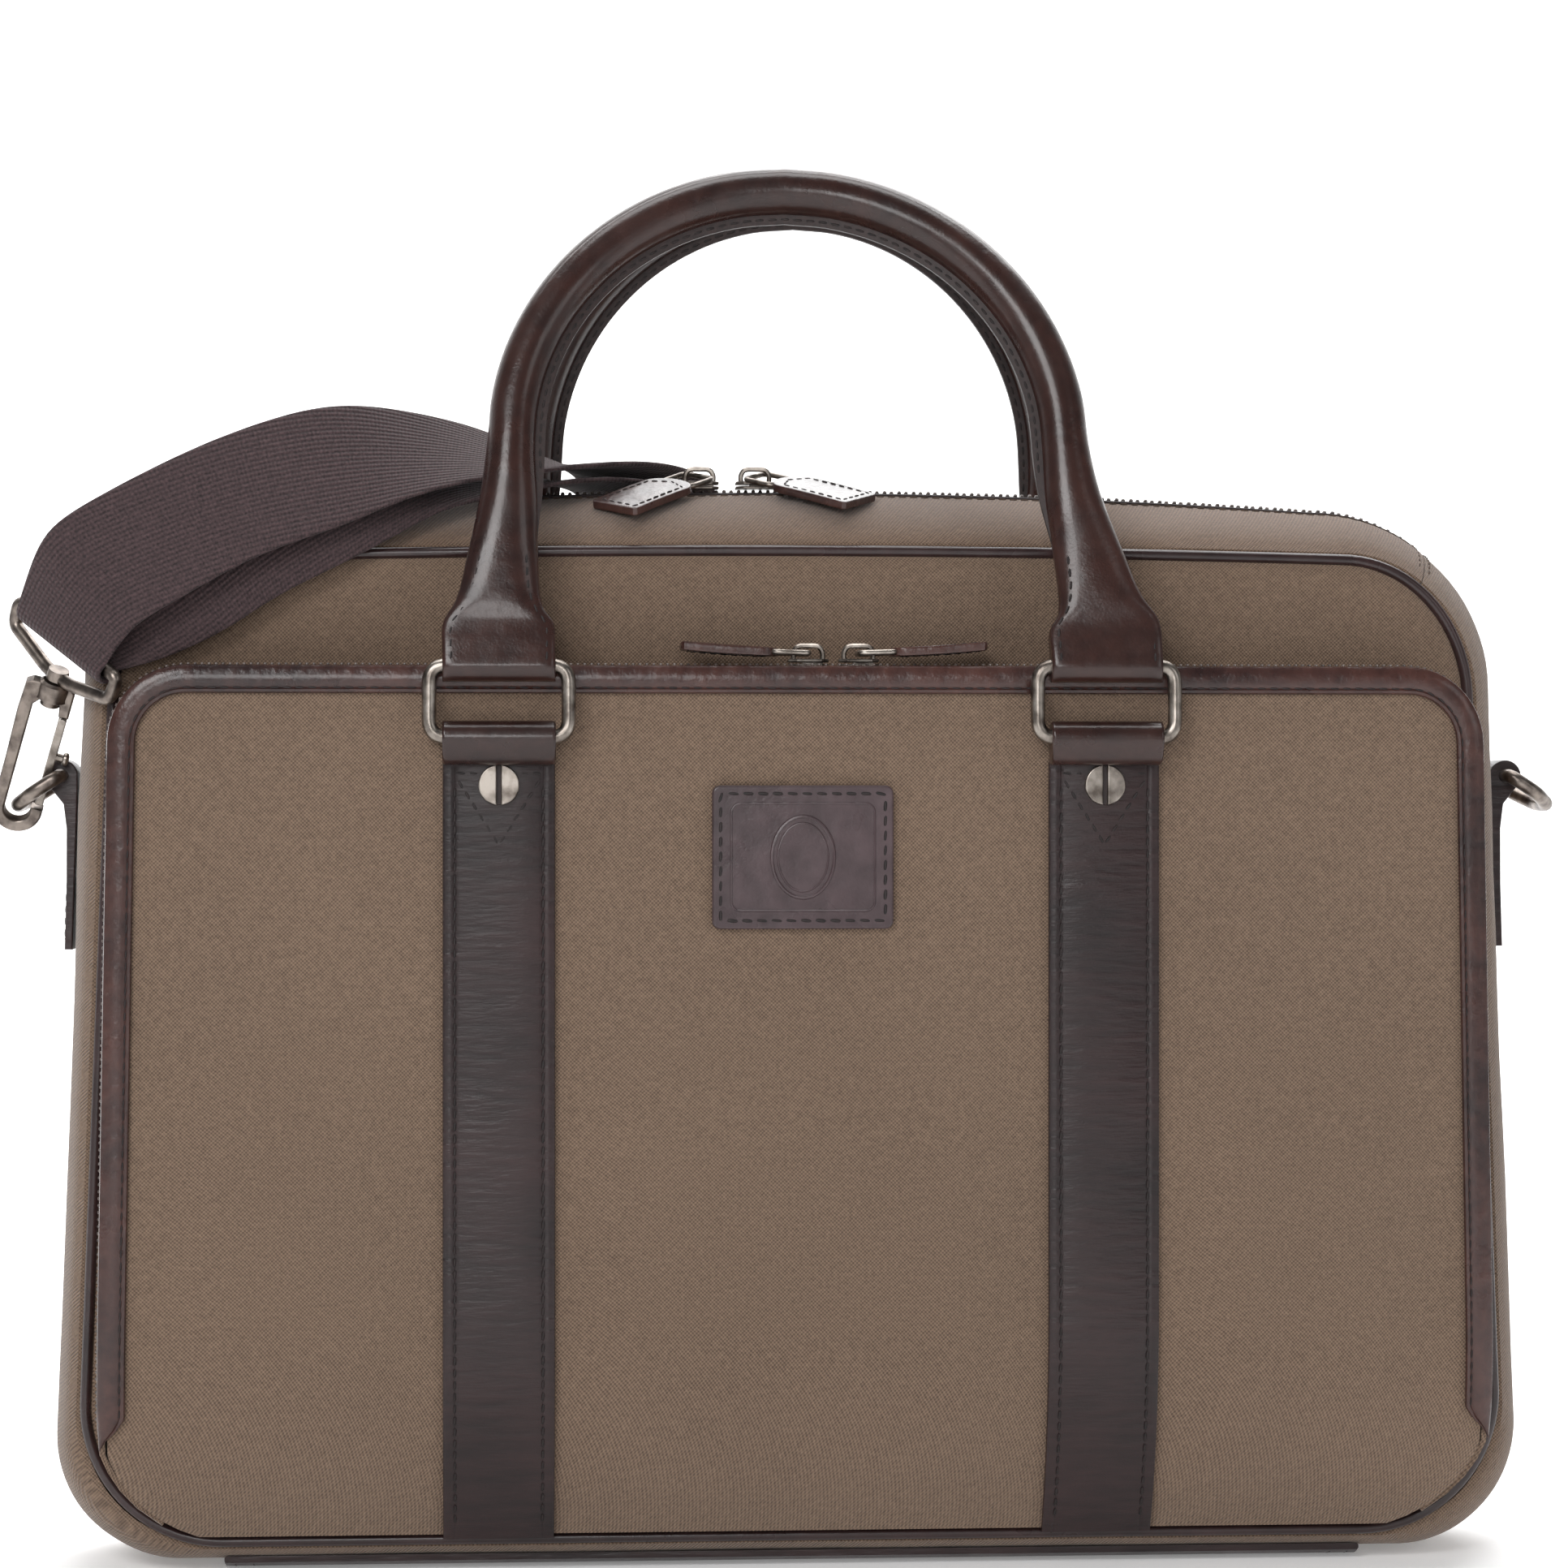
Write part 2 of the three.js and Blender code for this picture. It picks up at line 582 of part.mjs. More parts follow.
// ---------------------------------------------------------------- zip sliders and pulls
// A slider stands on its chain at the origin, its bridge along X; the link passes under the bridge.
const BRIDGE = 3.8; // height of the link's bar above the slider's underside
function sliderGeometry() {
  return join(
    block(-5.5, 5.5, -4, 4, 0, 2),
    block(-4.4, -2.9, -1.1, 1.1, 1.8, 5.2),
    block(2.9, 4.4, -1.1, 1.1, 1.8, 5.2),
    block(-4.4, 4.4, -1.1, 1.1, 5, 6.4),
  );
}

// A pull lies along +X from its link's bar, flat in XY.
function pullGeometry(width, length) {
  const [reach, half] = [10, width / 2];
  const corners = [at(0, -5.5, 0), at(reach, -5.5, 0), at(reach, 5.5, 0), at(0, 5.5, 0)];
  const link = wireLoop(corners, 2, 0.8, 20, 5);
  const tab = new THREE.Shape();
  const start = 8.4;
  tab.moveTo(start + length, -half);
  tab.lineTo(start + length, half);
  tab.lineTo(start + half * 0.7, half);
  tab.quadraticCurveTo(start, half * 0.8, start, 0);
  tab.quadraticCurveTo(start, -half * 0.8, start + half * 0.7, -half);
  const body = new THREE.ExtrudeGeometry(tab, { depth: 2.4, bevelEnabled: false, curveSegments: 5 });
  return join(link, body.translate(0, 0, -1.2));
}

// Places a piece by its origin, the direction of its X, and roughly the direction of its Z.
function place(mesh, origin, xDirection, zDirection) {
  const x = xDirection.clone().normalize();
  const y = new THREE.Vector3().crossVectors(zDirection, x).normalize();
  const z = new THREE.Vector3().crossVectors(x, y);
  mesh.quaternion.setFromRotationMatrix(new THREE.Matrix4().makeBasis(x, y, z));
  mesh.position.copy(origin);
}

function zips() {
  const ridge = BULGE.top + BULGE.crown + 0.8 + GAP;
  const main = [
    { word: "left", x: -26, to: at(-19, -18, -7.6) },
    { word: "right", x: -10, to: at(22, -16, -6) },
  ];
  for (const { word, x, to } of main) {
    add(`main_slider_${word}`, sliderGeometry(), nickel).position.set(x, 0, ridge);
    const pull = add(`main_pull_${word}`, pullGeometry(17, 28), leather);
    place(pull, at(x, 0, ridge + BRIDGE), to, at(0, -0.26, 1));
  }
  const top = POCKET.top + GAP;
  const sliderY = POCKET.face + 6.6;
  const small = [
    { word: "left", x: 2, to: at(-1, 0, 0.03) },
    { word: "right", x: 16, to: at(1, 0, 0.03) },
  ];
  for (const { word, x, to } of small) {
    const slider = add(`pocket_slider_${word}`, sliderGeometry(), nickel);
    slider.position.set(x, sliderY, top);
    const pull = add(`pocket_pull_${word}`, pullGeometry(12, 27), leather);
    place(pull, at(x, sliderY, top + BRIDGE), to, at(0, 0, 1));
  }
}

// ---------------------------------------------------------------- side tabs and D-rings
function sides() {
  for (const [word, side] of [["left", -1], ["right", 1]]) {
    const wallAt = (z) => lerp(BULGE.low, BULGE.high, (z - 36) / (247 - 36)) + 0.5;
    const strip = new THREE.Shape();
    strip.moveTo(wallAt(172), 172);
    strip.lineTo(wallAt(172) + LEATHER, 172);
    strip.lineTo(wallAt(212) + LEATHER + 1.2, 212);
    strip.lineTo(D_RING.x + 3, D_RING.z - 2);
    strip.lineTo(wallAt(D_RING.z), D_RING.z);
    const width = 17;
    const eye = at(D_RING.x, -width / 2, D_RING.z);
    const far = eye.clone().setY(width / 2);
    const body = join(plate(strip, -width / 2, width / 2), rod(EYE.wall, eye, far, 18));
    const folded = cut(body, rod(EYE.hole, eye.clone().setY(-20), far.clone().setY(20)));
    const tab = add(`side_tab_${word}`, folded, leather);
    if (side < 0) tab.rotation.z = Math.PI;

    const fall = radians(D_RING.droop);
    const outward = (y, s) => at(D_RING.x + s * Math.cos(fall), y, D_RING.z - s * Math.sin(fall));
    const { half, depth } = D_RING;
    const corners = [
      outward(-half - 2, 0),
      outward(half + 2, 0),
      outward(half + 2, depth * 0.6),
      outward(half * 0.5, depth),
      outward(-half * 0.5, depth),
      outward(-half - 2, depth * 0.6),
    ];
    const ring = add(`d_ring_${word}`, wireLoop(corners, 3, D_RING.wire, 24, 7), gunmetal);
    if (side < 0) ring.rotation.z = Math.PI;
  }
}

// ---------------------------------------------------------------- snap hooks
// A hook hangs along -Z from the middle of its eye's bar, which lies along X.
const HOOK = { barrel: 15.5, bend: 54, side: 0.9, inner: 3.6, wire: 3.4, pivot: 24, deep: 2.2 };

function hookEye() {
  const corners = [
    at(-22.5, 0, 0),
    at(22.5, 0, 0),
    at(22, 0, -7),
    at(5, 0, -11.6),
    at(-5, 0, -11.6),
    at(-22, 0, -7),
  ];
  const loop = wireLoop(corners, 2, 1.9, 28, 6);
  const shaft = rod(1.5, at(0, 0, -10.5), at(0, 0, -20), 10);
  const head = rod(2.8, at(0, 0, -19.2), at(0, 0, -21), 12);
  return join(loop, shaft, head);
}

function hookBody() {
  const { side, inner, wire, bend, deep } = HOOK;
  const nose = new THREE.Shape();
  nose.absarc(side, -bend, inner + wire, 0, -Math.PI, true);
  nose.lineTo(side - inner - wire, -bend + 1.6);
  nose.lineTo(side - inner, -bend + 1.6);
  nose.absarc(side, -bend, inner, -Math.PI, 0, false);
  const ring = rod(4.5, at(0, 0, -18.6), at(0, 0, -13.6), 16);
  const barX = side + inner;
  const bar = block(barX, barX + wire, -deep, deep, -bend, -13.8);
  const bridge = block(3, barX + wire, -deep, deep, -18.4, -13.8);
  const arm = block(-6, -3.2, -deep, deep, -23, -14);
  const frame = join(plate(nose, -deep, deep), bar, bridge, arm, ring);
  return cut(frame, rod(1.9, at(0, 0, -25), at(0, 0, -10), 12));
}

function hookGate() {
  const { bend, pivot } = HOOK;
  const leaf = block(-5.8, -3.4, -1.1, 1.1, -bend + 2.4, -pivot + 0.6);
  const knob = rod(2, at(-5.6, 0, -36), at(-9.4, 0, -36), 10);
  return join(leaf, knob);
}

// Where a hook hangs: the middle of its eye's bar, the direction of that bar, and the way to the nose.
function hook(word, centre, bar, down, hookSide) {
  const up = down.clone().negate();
  place(add(`${word}_hook_eye`, hookEye(), gunmetal), centre, bar, up);
  place(add(`${word}_hook`, hookBody(), gunmetal), centre, hookSide, up);
  place(add(`${word}_hook_gate`, hookGate(), gunmetal), centre, hookSide, up);
}

const LEFT_EYE = { centre: at(-202.5, -29.6, 258.8), down: at(-0.283, 0.417, -0.863).normalize() };
LEFT_EYE.bar = at(-0.641, 0.566, 0.519);
LEFT_EYE.bar.addScaledVector(LEFT_EYE.down, -LEFT_EYE.bar.dot(LEFT_EYE.down)).normalize();
LEFT_EYE.side = at(-1, 0, 0).addScaledVector(LEFT_EYE.down, LEFT_EYE.down.x).normalize();
const RIGHT_EYE = { centre: at(141, 54.5, 5.4), down: at(1, 0, 0), bar: at(0, 1, 0), side: at(0, 1, 0) };

// ---------------------------------------------------------------- shoulder webbing
// Each station is the webbing's two edges: the first is its front or lower edge on the bag's front.
// The inner layer runs from the adjuster on the back over the top to the left hook's eye.
const INNER_LAYER = [
  [at(9, 35, 229), at(-28, 35, 219)],
  [at(3, 35, 252), at(-33, 35, 240)],
  [at(-10, 37, 283), at(-42, 40, 262)],
  [at(-24, 32, 303.5), at(-48, 44, 276.5)],
  [at(-38, 6, 305.5), at(-55, 39, 294)],
  [at(-55, -9, 305.5), at(-60, 28, 304)],
  [at(-72, -19, 302.5), at(-70, 18.5, 306.5)],
  [at(-86, -24, 299), at(-84, 12.5, 309.5)],
  [at(-98, -28.5, 295.5), at(-98, 3, 317)],
  [at(-110.6, -34, 288.5), at(-113, -12, 319)],
  [at(-124, -37.5, 281), at(-131, -22.5, 315.5)],
  [at(-143, -38.5, 271.5), at(-155, -28.5, 306)],
  [at(-160, -38.5, 260.5), at(-181, -32, 291)],
  [at(-176, -37.5, 253), at(-201, -29.5, 280)],
];
// The outer layer runs back over it, down behind the bag, and lies in flat folds on the floor.
const OUTER_LAYER = [
  [at(-184, -44, 262), at(-209, -34, 289)],
  [at(-168.5, -44.5, 271), at(-189, -36, 300.5)],
  [at(-149.5, -43.5, 281.5), at(-160, -31.5, 315)],
  [at(-124, -40.5, 291), at(-130, -24, 324.5)],
  [at(-108.5, -35.5, 298), at(-108, -8, 324)],
  [at(-90, -28.5, 303.5), at(-88, 6, 320)],
  [at(-74.3, -20, 306.3), at(-71.5, 17.5, 313.5)],
  [at(-55, -9, 309.5), at(-61, 29, 309.5)],
  [at(-36.5, 8, 311), at(-56, 41.5, 301)],
  [at(-21, 34, 307.5), at(-47, 47.5, 282)],
  [at(-7, 41, 285), at(-39, 44.5, 261)],
  [at(5.5, 39.6, 252), at(-31, 39.6, 239.5)],
  [at(12.5, 39.4, 216), at(-25, 39.4, 209)],
  [at(16, 38.5, 180), at(-22, 38.5, 177)],
  [at(15, 35.5, 143), at(-19, 52, 142)],
  [at(10, 35, 108), at(-14, 64, 108)],
  [at(1.5, 35, 74), at(-5.5, 72.5, 74)],
  [at(-2, 35.5, 45), at(-2, 73.5, 45)],
];
const FOLD_FLOOR = { near: 35.5, far: 73.5, rise: 7.2, low: 1.4, start: 18, back: 32, end: 104 };

function foldStations() {
  const stations = [];
  const put = (x, z) => stations.push([at(x, FOLD_FLOOR.near, z), at(x, FOLD_FLOOR.far, z)]);
  const bend = FOLD_FLOOR.start + 2;
  for (let i = 0; i <= 4; i++) {
    const turn = (Math.PI / 2) * (i / 4);
    put(-2 + bend * (1 - Math.cos(turn)), FOLD_FLOOR.low + bend * (1 - Math.sin(turn)));
  }
  const turnRound = (x, low, way) => {
    for (let i = 0; i <= 6; i++) {
      const turn = Math.PI * (i / 6);
      const radius = FOLD_FLOOR.rise / 2;
      put(x + way * radius * Math.sin(turn), low + radius * (1 - Math.cos(turn)));
    }
  };
  put(60, FOLD_FLOOR.low);
  turnRound(FOLD_FLOOR.end, FOLD_FLOOR.low, 1);
  put(68, FOLD_FLOOR.low + FOLD_FLOOR.rise);
  turnRound(FOLD_FLOOR.back, FOLD_FLOOR.low + FOLD_FLOOR.rise, -1);
  put(72, FOLD_FLOOR.low + 2 * FOLD_FLOOR.rise);
  put(112, FOLD_FLOOR.low + 2 * FOLD_FLOOR.rise);
  put(127, FOLD_FLOOR.low + FOLD_FLOOR.rise + 1.5);
  return stations;
}

// The webbing's turn round an eye's bar, from one face of it to the other.
function wrap(eye, from, to) {
  const up = eye.down.clone().negate();
  const normal = new THREE.Vector3().crossVectors(up, eye.bar).normalize();
  const radius = 1.9 + GAP + WEBBING.thick / 2 + 0.3;
  const stations = [];
  for (let i = 0; i <= 6; i++) {
    const turn = radians(lerp(from, to, i / 6));
    const middle = eye.centre.clone().addScaledVector(normal, radius * Math.sin(turn));
    middle.addScaledVector(eye.down, radius * Math.cos(turn));
    const half = eye.bar.clone().multiplyScalar(WEBBING.width / 2);
    stations.push([middle.clone().sub(half), middle.clone().add(half)]);
  }
  return stations;
}

// Both edges of a layer as smooth curves through its stations.
function smoothed(layer) {
  const edges = [0, 1].map((edge) => {
    const curve = new THREE.CatmullRomCurve3(layer.map((station) => station[edge]), false, "centripetal");
    return curve.getPoints(2 * (layer.length - 1));
  });
  return edges[0].map((near, i) => [near, edges[1][i]]);
}

function shoulderWebbing() {
  const tail = [[at(116, FOLD_FLOOR.near, 2), at(116, FOLD_FLOOR.far, 2)]];
  const route = [
    ...smoothed(INNER_LAYER),
    ...wrap(LEFT_EYE, -95, 95),
    ...smoothed(OUTER_LAYER),
    ...foldStations(),
    ...wrap(RIGHT_EYE, -95, 95),
    ...tail,
  ];
  const sections = route.map(([near, far], i) => {
    const middle = (pair) => pair[0].clone().add(pair[1]).multiplyScalar(0.5);
    const before = middle(route[Math.max(0, i - 1)]);
    const along = middle(route[Math.min(route.length - 1, i + 1)]).sub(before);
    const across = far.clone().sub(near).normalize();
    const normal = new THREE.Vector3().crossVectors(along, across).setLength(WEBBING.thick / 2);
    return [
      near.clone().sub(normal),
      far.clone().sub(normal),
      far.clone().add(normal),
      near.clone().add(normal),
    ];
  });
  add("shoulder_webbing", sweep(sections), webbing);
}

// The three-bar adjuster on the back run: outer bars outside the webbing, the middle bar inside it.
function adjuster() {
  const outer = 2.4;
  const frame = join(
    block(-23, -20, -outer, 4.4, -12, 12),
    block(20, 23, -outer, 4.4, -12, 12),
    block(-23, 23, 2.2, 4.4, 9, 12),
    block(-23, 23, 2.2, 4.4, -12, -9),
    block(-23, 23, -outer, -0.4, -1.6, 1.6),
  );
  const mesh = add("strap_adjuster", frame, gunmetal);
  mesh.position.set(-8.6, 38.5, 224);
  mesh.rotation.y = radians(-12);
}

// ---------------------------------------------------------------- assembly
const flap = new THREE.Group();
bag.add(flap);
mainBody();
baseLeather();
pocket(flap);
hardware(flap);
handles();
zips();
sides();
hook("left", LEFT_EYE.centre, LEFT_EYE.bar, LEFT_EYE.down, LEFT_EYE.side);
hook("right", RIGHT_EYE.centre, RIGHT_EYE.bar, RIGHT_EYE.down, RIGHT_EYE.side);
shoulderWebbing();
adjuster();

export default bag;
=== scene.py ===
"""The looks of a canvas and leather satchel, built round its packed CAD frame.

Shapes here are in millimetres in the row frame; make() turns them into metres.
"""

from math import acos, atan2, copysign, cos, pi, radians, sin, sqrt
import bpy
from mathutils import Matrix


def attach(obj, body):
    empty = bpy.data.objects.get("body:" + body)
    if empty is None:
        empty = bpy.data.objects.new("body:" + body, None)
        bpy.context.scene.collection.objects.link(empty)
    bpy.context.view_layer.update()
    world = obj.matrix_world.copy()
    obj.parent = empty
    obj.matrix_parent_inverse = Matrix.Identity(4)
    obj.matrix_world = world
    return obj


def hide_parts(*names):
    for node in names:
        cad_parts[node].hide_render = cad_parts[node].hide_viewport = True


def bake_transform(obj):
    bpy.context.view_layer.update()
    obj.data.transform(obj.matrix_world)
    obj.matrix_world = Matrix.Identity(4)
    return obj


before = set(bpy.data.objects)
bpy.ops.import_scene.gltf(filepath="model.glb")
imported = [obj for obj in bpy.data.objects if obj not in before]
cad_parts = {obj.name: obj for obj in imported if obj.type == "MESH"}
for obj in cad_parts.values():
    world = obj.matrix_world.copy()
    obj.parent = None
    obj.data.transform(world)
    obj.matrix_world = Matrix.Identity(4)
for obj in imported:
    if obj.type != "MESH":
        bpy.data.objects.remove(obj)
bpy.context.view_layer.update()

from types import SimpleNamespace as Sizes

import bmesh
import bpy
import numpy as np
from mathutils import Vector, noise
from numpy.linalg import norm

MM = 0.001

# --- sizes shared with the CAD part
FRONT, BACK, DEPTH = -31.0, 31.0, 62.0
CANVAS, LEATHER, GAP, PIPING = 2.2, 2.2, 0.3, 1.6
SEAM = Sizes(low=197.5, high=190, bottom=8.6, top=282, corner=38, roundX=36, roundZ=40, crown=2)
BULGE = Sizes(low=207.5, high=200.3, bottom=2.2, top=297, corner=34, roundX=50, roundZ=50, crown=5)
FINE = 3
STEPS = Sizes(bottom=5 * FINE, corner=7 * FINE, side=4 * FINE, round=7 * FINE, top=7 * FINE)
HALF = sum(vars(STEPS).values())
TOP_START = STEPS.bottom + STEPS.corner + STEPS.side + 4 * FINE
SEAM_CLEAR, ZIP_SHARE = 0.014, 0.085
MIDDLE_HEIGHT = 150
POCKET = Sizes(half=192.5, topHalf=189.5, top=250.8, corner=21, fold=42, face=-51, flatFrom=75)
POCKET_LOW = (9, -34.2)
POCKET_BACK = FRONT - 1.7
STRIP = Sizes(x=83.4, top=224.8, bottom=10.5)
RING = Sizes(width=38, wire=2, low=231.4, high=251.1, lowY=-58, highY=-57.4, corner=5)
EYE_WALL = 4.6
SCREW_Z = 218.5
BADGE = Sizes(width=50, height=39.5, z=198.6, corner=2.2, thick=2.1)
HANDLE = Sizes(tube=6.7, legTop=313, legX=76.9, skew=-3)
FRONT_ARCH = Sizes(apex=386, lean=38, bow=1.15)
BACK_ARCH = Sizes(apex=390.8, lean=9, bow=2.2)
BACK_FACE = BACK + 1.1
BACK_SHIFT = POCKET.face + BACK_FACE
D_RING = Sizes(x=206.3, z=221, half=13, depth=15, wire=2, droop=33)
WEB_WIDTH, WEB_THICK = 38.0, 1.6
RIDGE = BULGE.top + BULGE.crown + 0.8 + GAP
SIDES = (("left", -1), ("right", 1))


# --- small helpers
def lerp(a, b, t):
    return a + (b - a) * t


def step(x, a, b):
    t = min(1.0, max(0.0, (x - a) / (b - a)))
    return t * t * (3 - 2 * t)


def v3(*p):
    return np.array(p, float)


def unit(v):
    return np.asarray(v, float) / max(1e-9, norm(v))


def square_to(v, w):
    """The part of v that is square to w, as a unit vector."""
    return unit(v - np.dot(v, w) * w)


def rough(p, size, seed=0.0):
    """Smooth noise from about -1 to 1 at a point, with features of that size in millimetres."""
    return noise.noise(Vector((p[0] / size + seed, p[1] / size + 3.7, p[2] / size - seed)))


def arc(first, last, count, radius=1.0, x=0.0, y=0.0):
    """Points round part of a circle, between two angles in radians."""
    angles = np.linspace(first, last, count)
    return [(x + radius * cos(a), y + radius * sin(a)) for a in angles]


def shares(count):
    """Equal steps up to 1, without 0."""
    return [i / count for i in range(1, count + 1)]


def travelled(points):
    """The distance along a path at each of its points."""
    gaps = norm(np.diff(points, axis=0), axis=1)
    return np.concatenate([[0], np.cumsum(gaps)])


# --- camera and studio
EYE, TARGET, FOCAL, SENSOR = (-0.087, -1.247, 0.219), (-0.0016, 0, 0.2187), 100, 36
REACH, BEND_START, BEND, WALL_TOP, UNDERFOOT = 30, 1.2, 1.0, 5.0, 0.0006
WALL = BEND_START + BEND
WORLD_COLOUR, WORLD_STRENGTH = (0.97, 0.98, 1, 1), 0.13
PAPER_COLOUR, PAPER_ROUGHNESS, PAPER_GLOW = (0.93, 0.93, 0.93, 1), 0.9, 0.2
# Each lamp's place, what it aims at, its size in metres and its watts.
LAMPS = {
    "key": ((-0.85, -1.6, 1.15), (0, 0, 0.2), (0.9, 0.7), 18),
    "sheen": ((-0.24, -2.1, 0.6), (0, 0, 0.2), (0.55, 0.5), 7),
    "fill": ((1.5, -1.5, 0.9), (0, 0, 0.2), (0.7, 1.0), 4),
    "top": ((0, -0.1, 1.8), (0, 0, 0.25), (1.4, 0.5), 12),
    "behind": ((0.5, 1.1, 1.6), (0, 0.2, 0.2), (1.4, 1.0), 10),
    "wall": ((0, 0.7, 2.3), (0, 2.6, 0.9), (3.0, 0.6), 75),
}


def show(name, data):
    obj = bpy.data.objects.new(name, data)
    bpy.context.scene.collection.objects.link(obj)
    return obj


def aimed(name, data, place, target):
    """An object in the scene that looks from one place towards another."""
    obj = show(name, data)
    obj.location = place
    obj.rotation_mode = "QUATERNION"
    obj.rotation_quaternion = (Vector(target) - Vector(place)).to_track_quat("-Z", "Y")
    return obj


def camera():
    data = bpy.data.cameras.new("camera")
    data.lens, data.sensor_width = FOCAL, SENSOR
    bpy.context.scene.camera = aimed("camera", data, EYE, TARGET)


def backdrop():
    """A pale floor that curves up into a wall, closed far off on its other three sides."""
    profile = [(-REACH, 0), *arc(-pi / 2, 0, 13, BEND, BEND_START, BEND), (WALL, WALL_TOP)]
    points = [(x, y, z - UNDERFOOT) for y, z in profile for x in (-REACH, REACH)]
    faces = [(2 * i, 2 * i + 1, 2 * i + 3, 2 * i + 2) for i in range(len(profile) - 1)]
    corners = [(-REACH, WALL), (-REACH, -REACH), (REACH, -REACH), (REACH, WALL)]
    for a, b in zip(corners, corners[1:]):
        faces.append(tuple(range(len(points), len(points) + 4)))
        points += [(*a, -UNDERFOOT), (*b, -UNDERFOOT), (*b, WALL_TOP), (*a, WALL_TOP)]
    mesh = bpy.data.meshes.new("backdrop")
    mesh.from_pydata(points, [], faces)
    mesh.shade_smooth()
    glow = dict(Emission_Color=(1, 1, 1, 1), Emission_Strength=PAPER_GLOW)
    paper = Look("paper", PAPER_ROUGHNESS, Base_Color=PAPER_COLOUR, **glow)
    mesh.materials.append(paper.material)
    show("backdrop", mesh)


def studio():
    bpy.context.scene.view_settings.view_transform = "Standard"
    world = bpy.data.worlds.new("studio")
    world.use_nodes = True
    sky = world.node_tree.nodes["Background"].inputs
    sky["Color"].default_value = WORLD_COLOUR
    sky["Strength"].default_value = WORLD_STRENGTH
    bpy.context.scene.world = world
    backdrop()
    for name, (place, target, size, watts) in LAMPS.items():
        data = bpy.data.lights.new(name, "AREA")
        data.shape, data.size, data.size_y, data.energy = "RECTANGLE", *size, watts
        aimed(name, data, place, target)


# --- materials
WEAVE_PITCH = 0.00105  # metres
RIB_PITCH, PICK_PITCH = 1.5, 1.1  # millimetres


class Look:
    """A material's nodes, with short calls for the ones that are used most."""

    def __init__(self, name, roughness, metallic=0.0, **sockets):
        self.material = bpy.data.materials.new(name)
        self.material.use_nodes = True
        self.tree = self.material.node_tree
        self.shader = self.tree.nodes["Principled BSDF"].inputs
        for socket, value in dict(sockets, Roughness=roughness, Metallic=metallic).items():
            self.shader[socket.replace("_", " ")].default_value = value
        self.place = self.node("TexCoord").outputs["Object"]

    def node(self, kind, inputs=None, **settings):
        """A node with its settings made, and its inputs linked or set."""
        made = self.tree.nodes.new("ShaderNode" + kind)
        for key, value in settings.items():
            setattr(made, key, value)
        for socket, value in (inputs or {}).items():
            if isinstance(value, bpy.types.NodeSocket):
                self.tree.links.new(value, made.inputs[socket])
            else:
                made.inputs[socket].default_value = value
        return made

    def maths(self, operation, *values):
        return self.node("Math", dict(enumerate(values)), operation=operation).outputs[0]

    def scaled(self, value, factor, added):
        return self.maths("MULTIPLY_ADD", value, factor, added)

    def noise(self, scale, detail=3.0, stretch=(1, 1, 1)):
        mapped = self.node("Mapping", {"Vector": self.place, "Scale": stretch}).outputs[0]
        inputs = {"Vector": mapped, "Scale": scale, "Detail": detail}
        return self.node("TexNoise", inputs).outputs["Fac"]

    def cells(self, scale):
        inputs = {"Vector": self.place, "Scale": scale}
        return self.node("TexVoronoi", inputs, feature="SMOOTH_F1").outputs["Distance"]

    def ramp(self, factor, dark, light, low, high):
        """A blend of two colours given from 0 to 255."""
        made = self.node("ValToRGB", {"Fac": factor})
        for element, at, colour in zip(made.color_ramp.elements, (low, high), (dark, light)):
            element.position = at
            element.color = (*[((c / 255 + 0.055) / 1.055) ** 2.4 for c in colour], 1)
        return made.outputs["Color"]

    def finish(self, colour, bumps, roughness=None):
        """bumps is a list of (height, distance in metres, strength)."""
        self.tree.links.new(colour, self.shader["Base Color"])
        if roughness is not None:
            self.tree.links.new(roughness, self.shader["Roughness"])
        under = {}
        for height, distance, strength in bumps:
            inputs = {"Height": height, "Distance": distance, "Strength": strength, **under}
            under = {"Normal": self.node("Bump", inputs).outputs[0]}
        self.tree.links.new(under["Normal"], self.shader["Normal"])
        return self.material


def canvas_look(name, dark, light):
    """A coarse plain weave: warp and weft threads, slubs, and a slow change of shade."""
    look = Look(name, 0.92, Sheen_Weight=0.25, Sheen_Roughness=0.5)
    x, y, z = look.node("SeparateXYZ", {0: look.place}).outputs
    wobble = look.maths("MULTIPLY", look.noise(500, 2), 1.4)
    threads = []
    for way in (x, z):
        phase = look.scaled(look.maths("ADD", way, y), 2 * pi / WEAVE_PITCH, wobble)
        threads.append(look.maths("SINE", phase))
    weave = look.maths("MULTIPLY", *threads)
    fleck, slub, slow = look.noise(950, 3), look.noise(130, 2, (1, 1, 9)), look.noise(16, 3)
    tone = look.scaled(weave, 0.3, 0.22)
    for part, weight in ((fleck, 0.5), (slub, 0.1), (slow, 0.12)):
        tone = look.scaled(part, weight, tone)
    height = look.scaled(fleck, 0.9, weave)
    bumps = [(height, 0.00022, 0.55), (look.noise(28, 3), 0.004, 0.14)]
    return look.finish(look.ramp(tone, dark, light, 0.2, 0.96), bumps)


def leather_look(name, dark, light, stretch=(1, 1, 1), crease=0.35, roughness=0.3, coat=0.3):
    """Waxed leather: a fine grain, creases along one direction, and rubbed lighter patches."""
    look = Look(name, roughness, Specular_IOR_Level=0.36, Coat_Weight=coat, Coat_Roughness=0.17)
    patch = look.noise(22, 4)
    lines = look.noise(150, 5, stretch)
    tone = look.scaled(lines, 0.45, look.maths("MULTIPLY", patch, 0.6))
    worn = look.scaled(look.noise(60, 4), 0.3, roughness - 0.15)
    bumps = [(look.cells(1500), 0.0002, 0.16), (lines, 0.0011, crease), (patch, 0.004, 0.12)]
    return look.finish(look.ramp(tone, dark, light, 0.38, 0.72), bumps, worn)


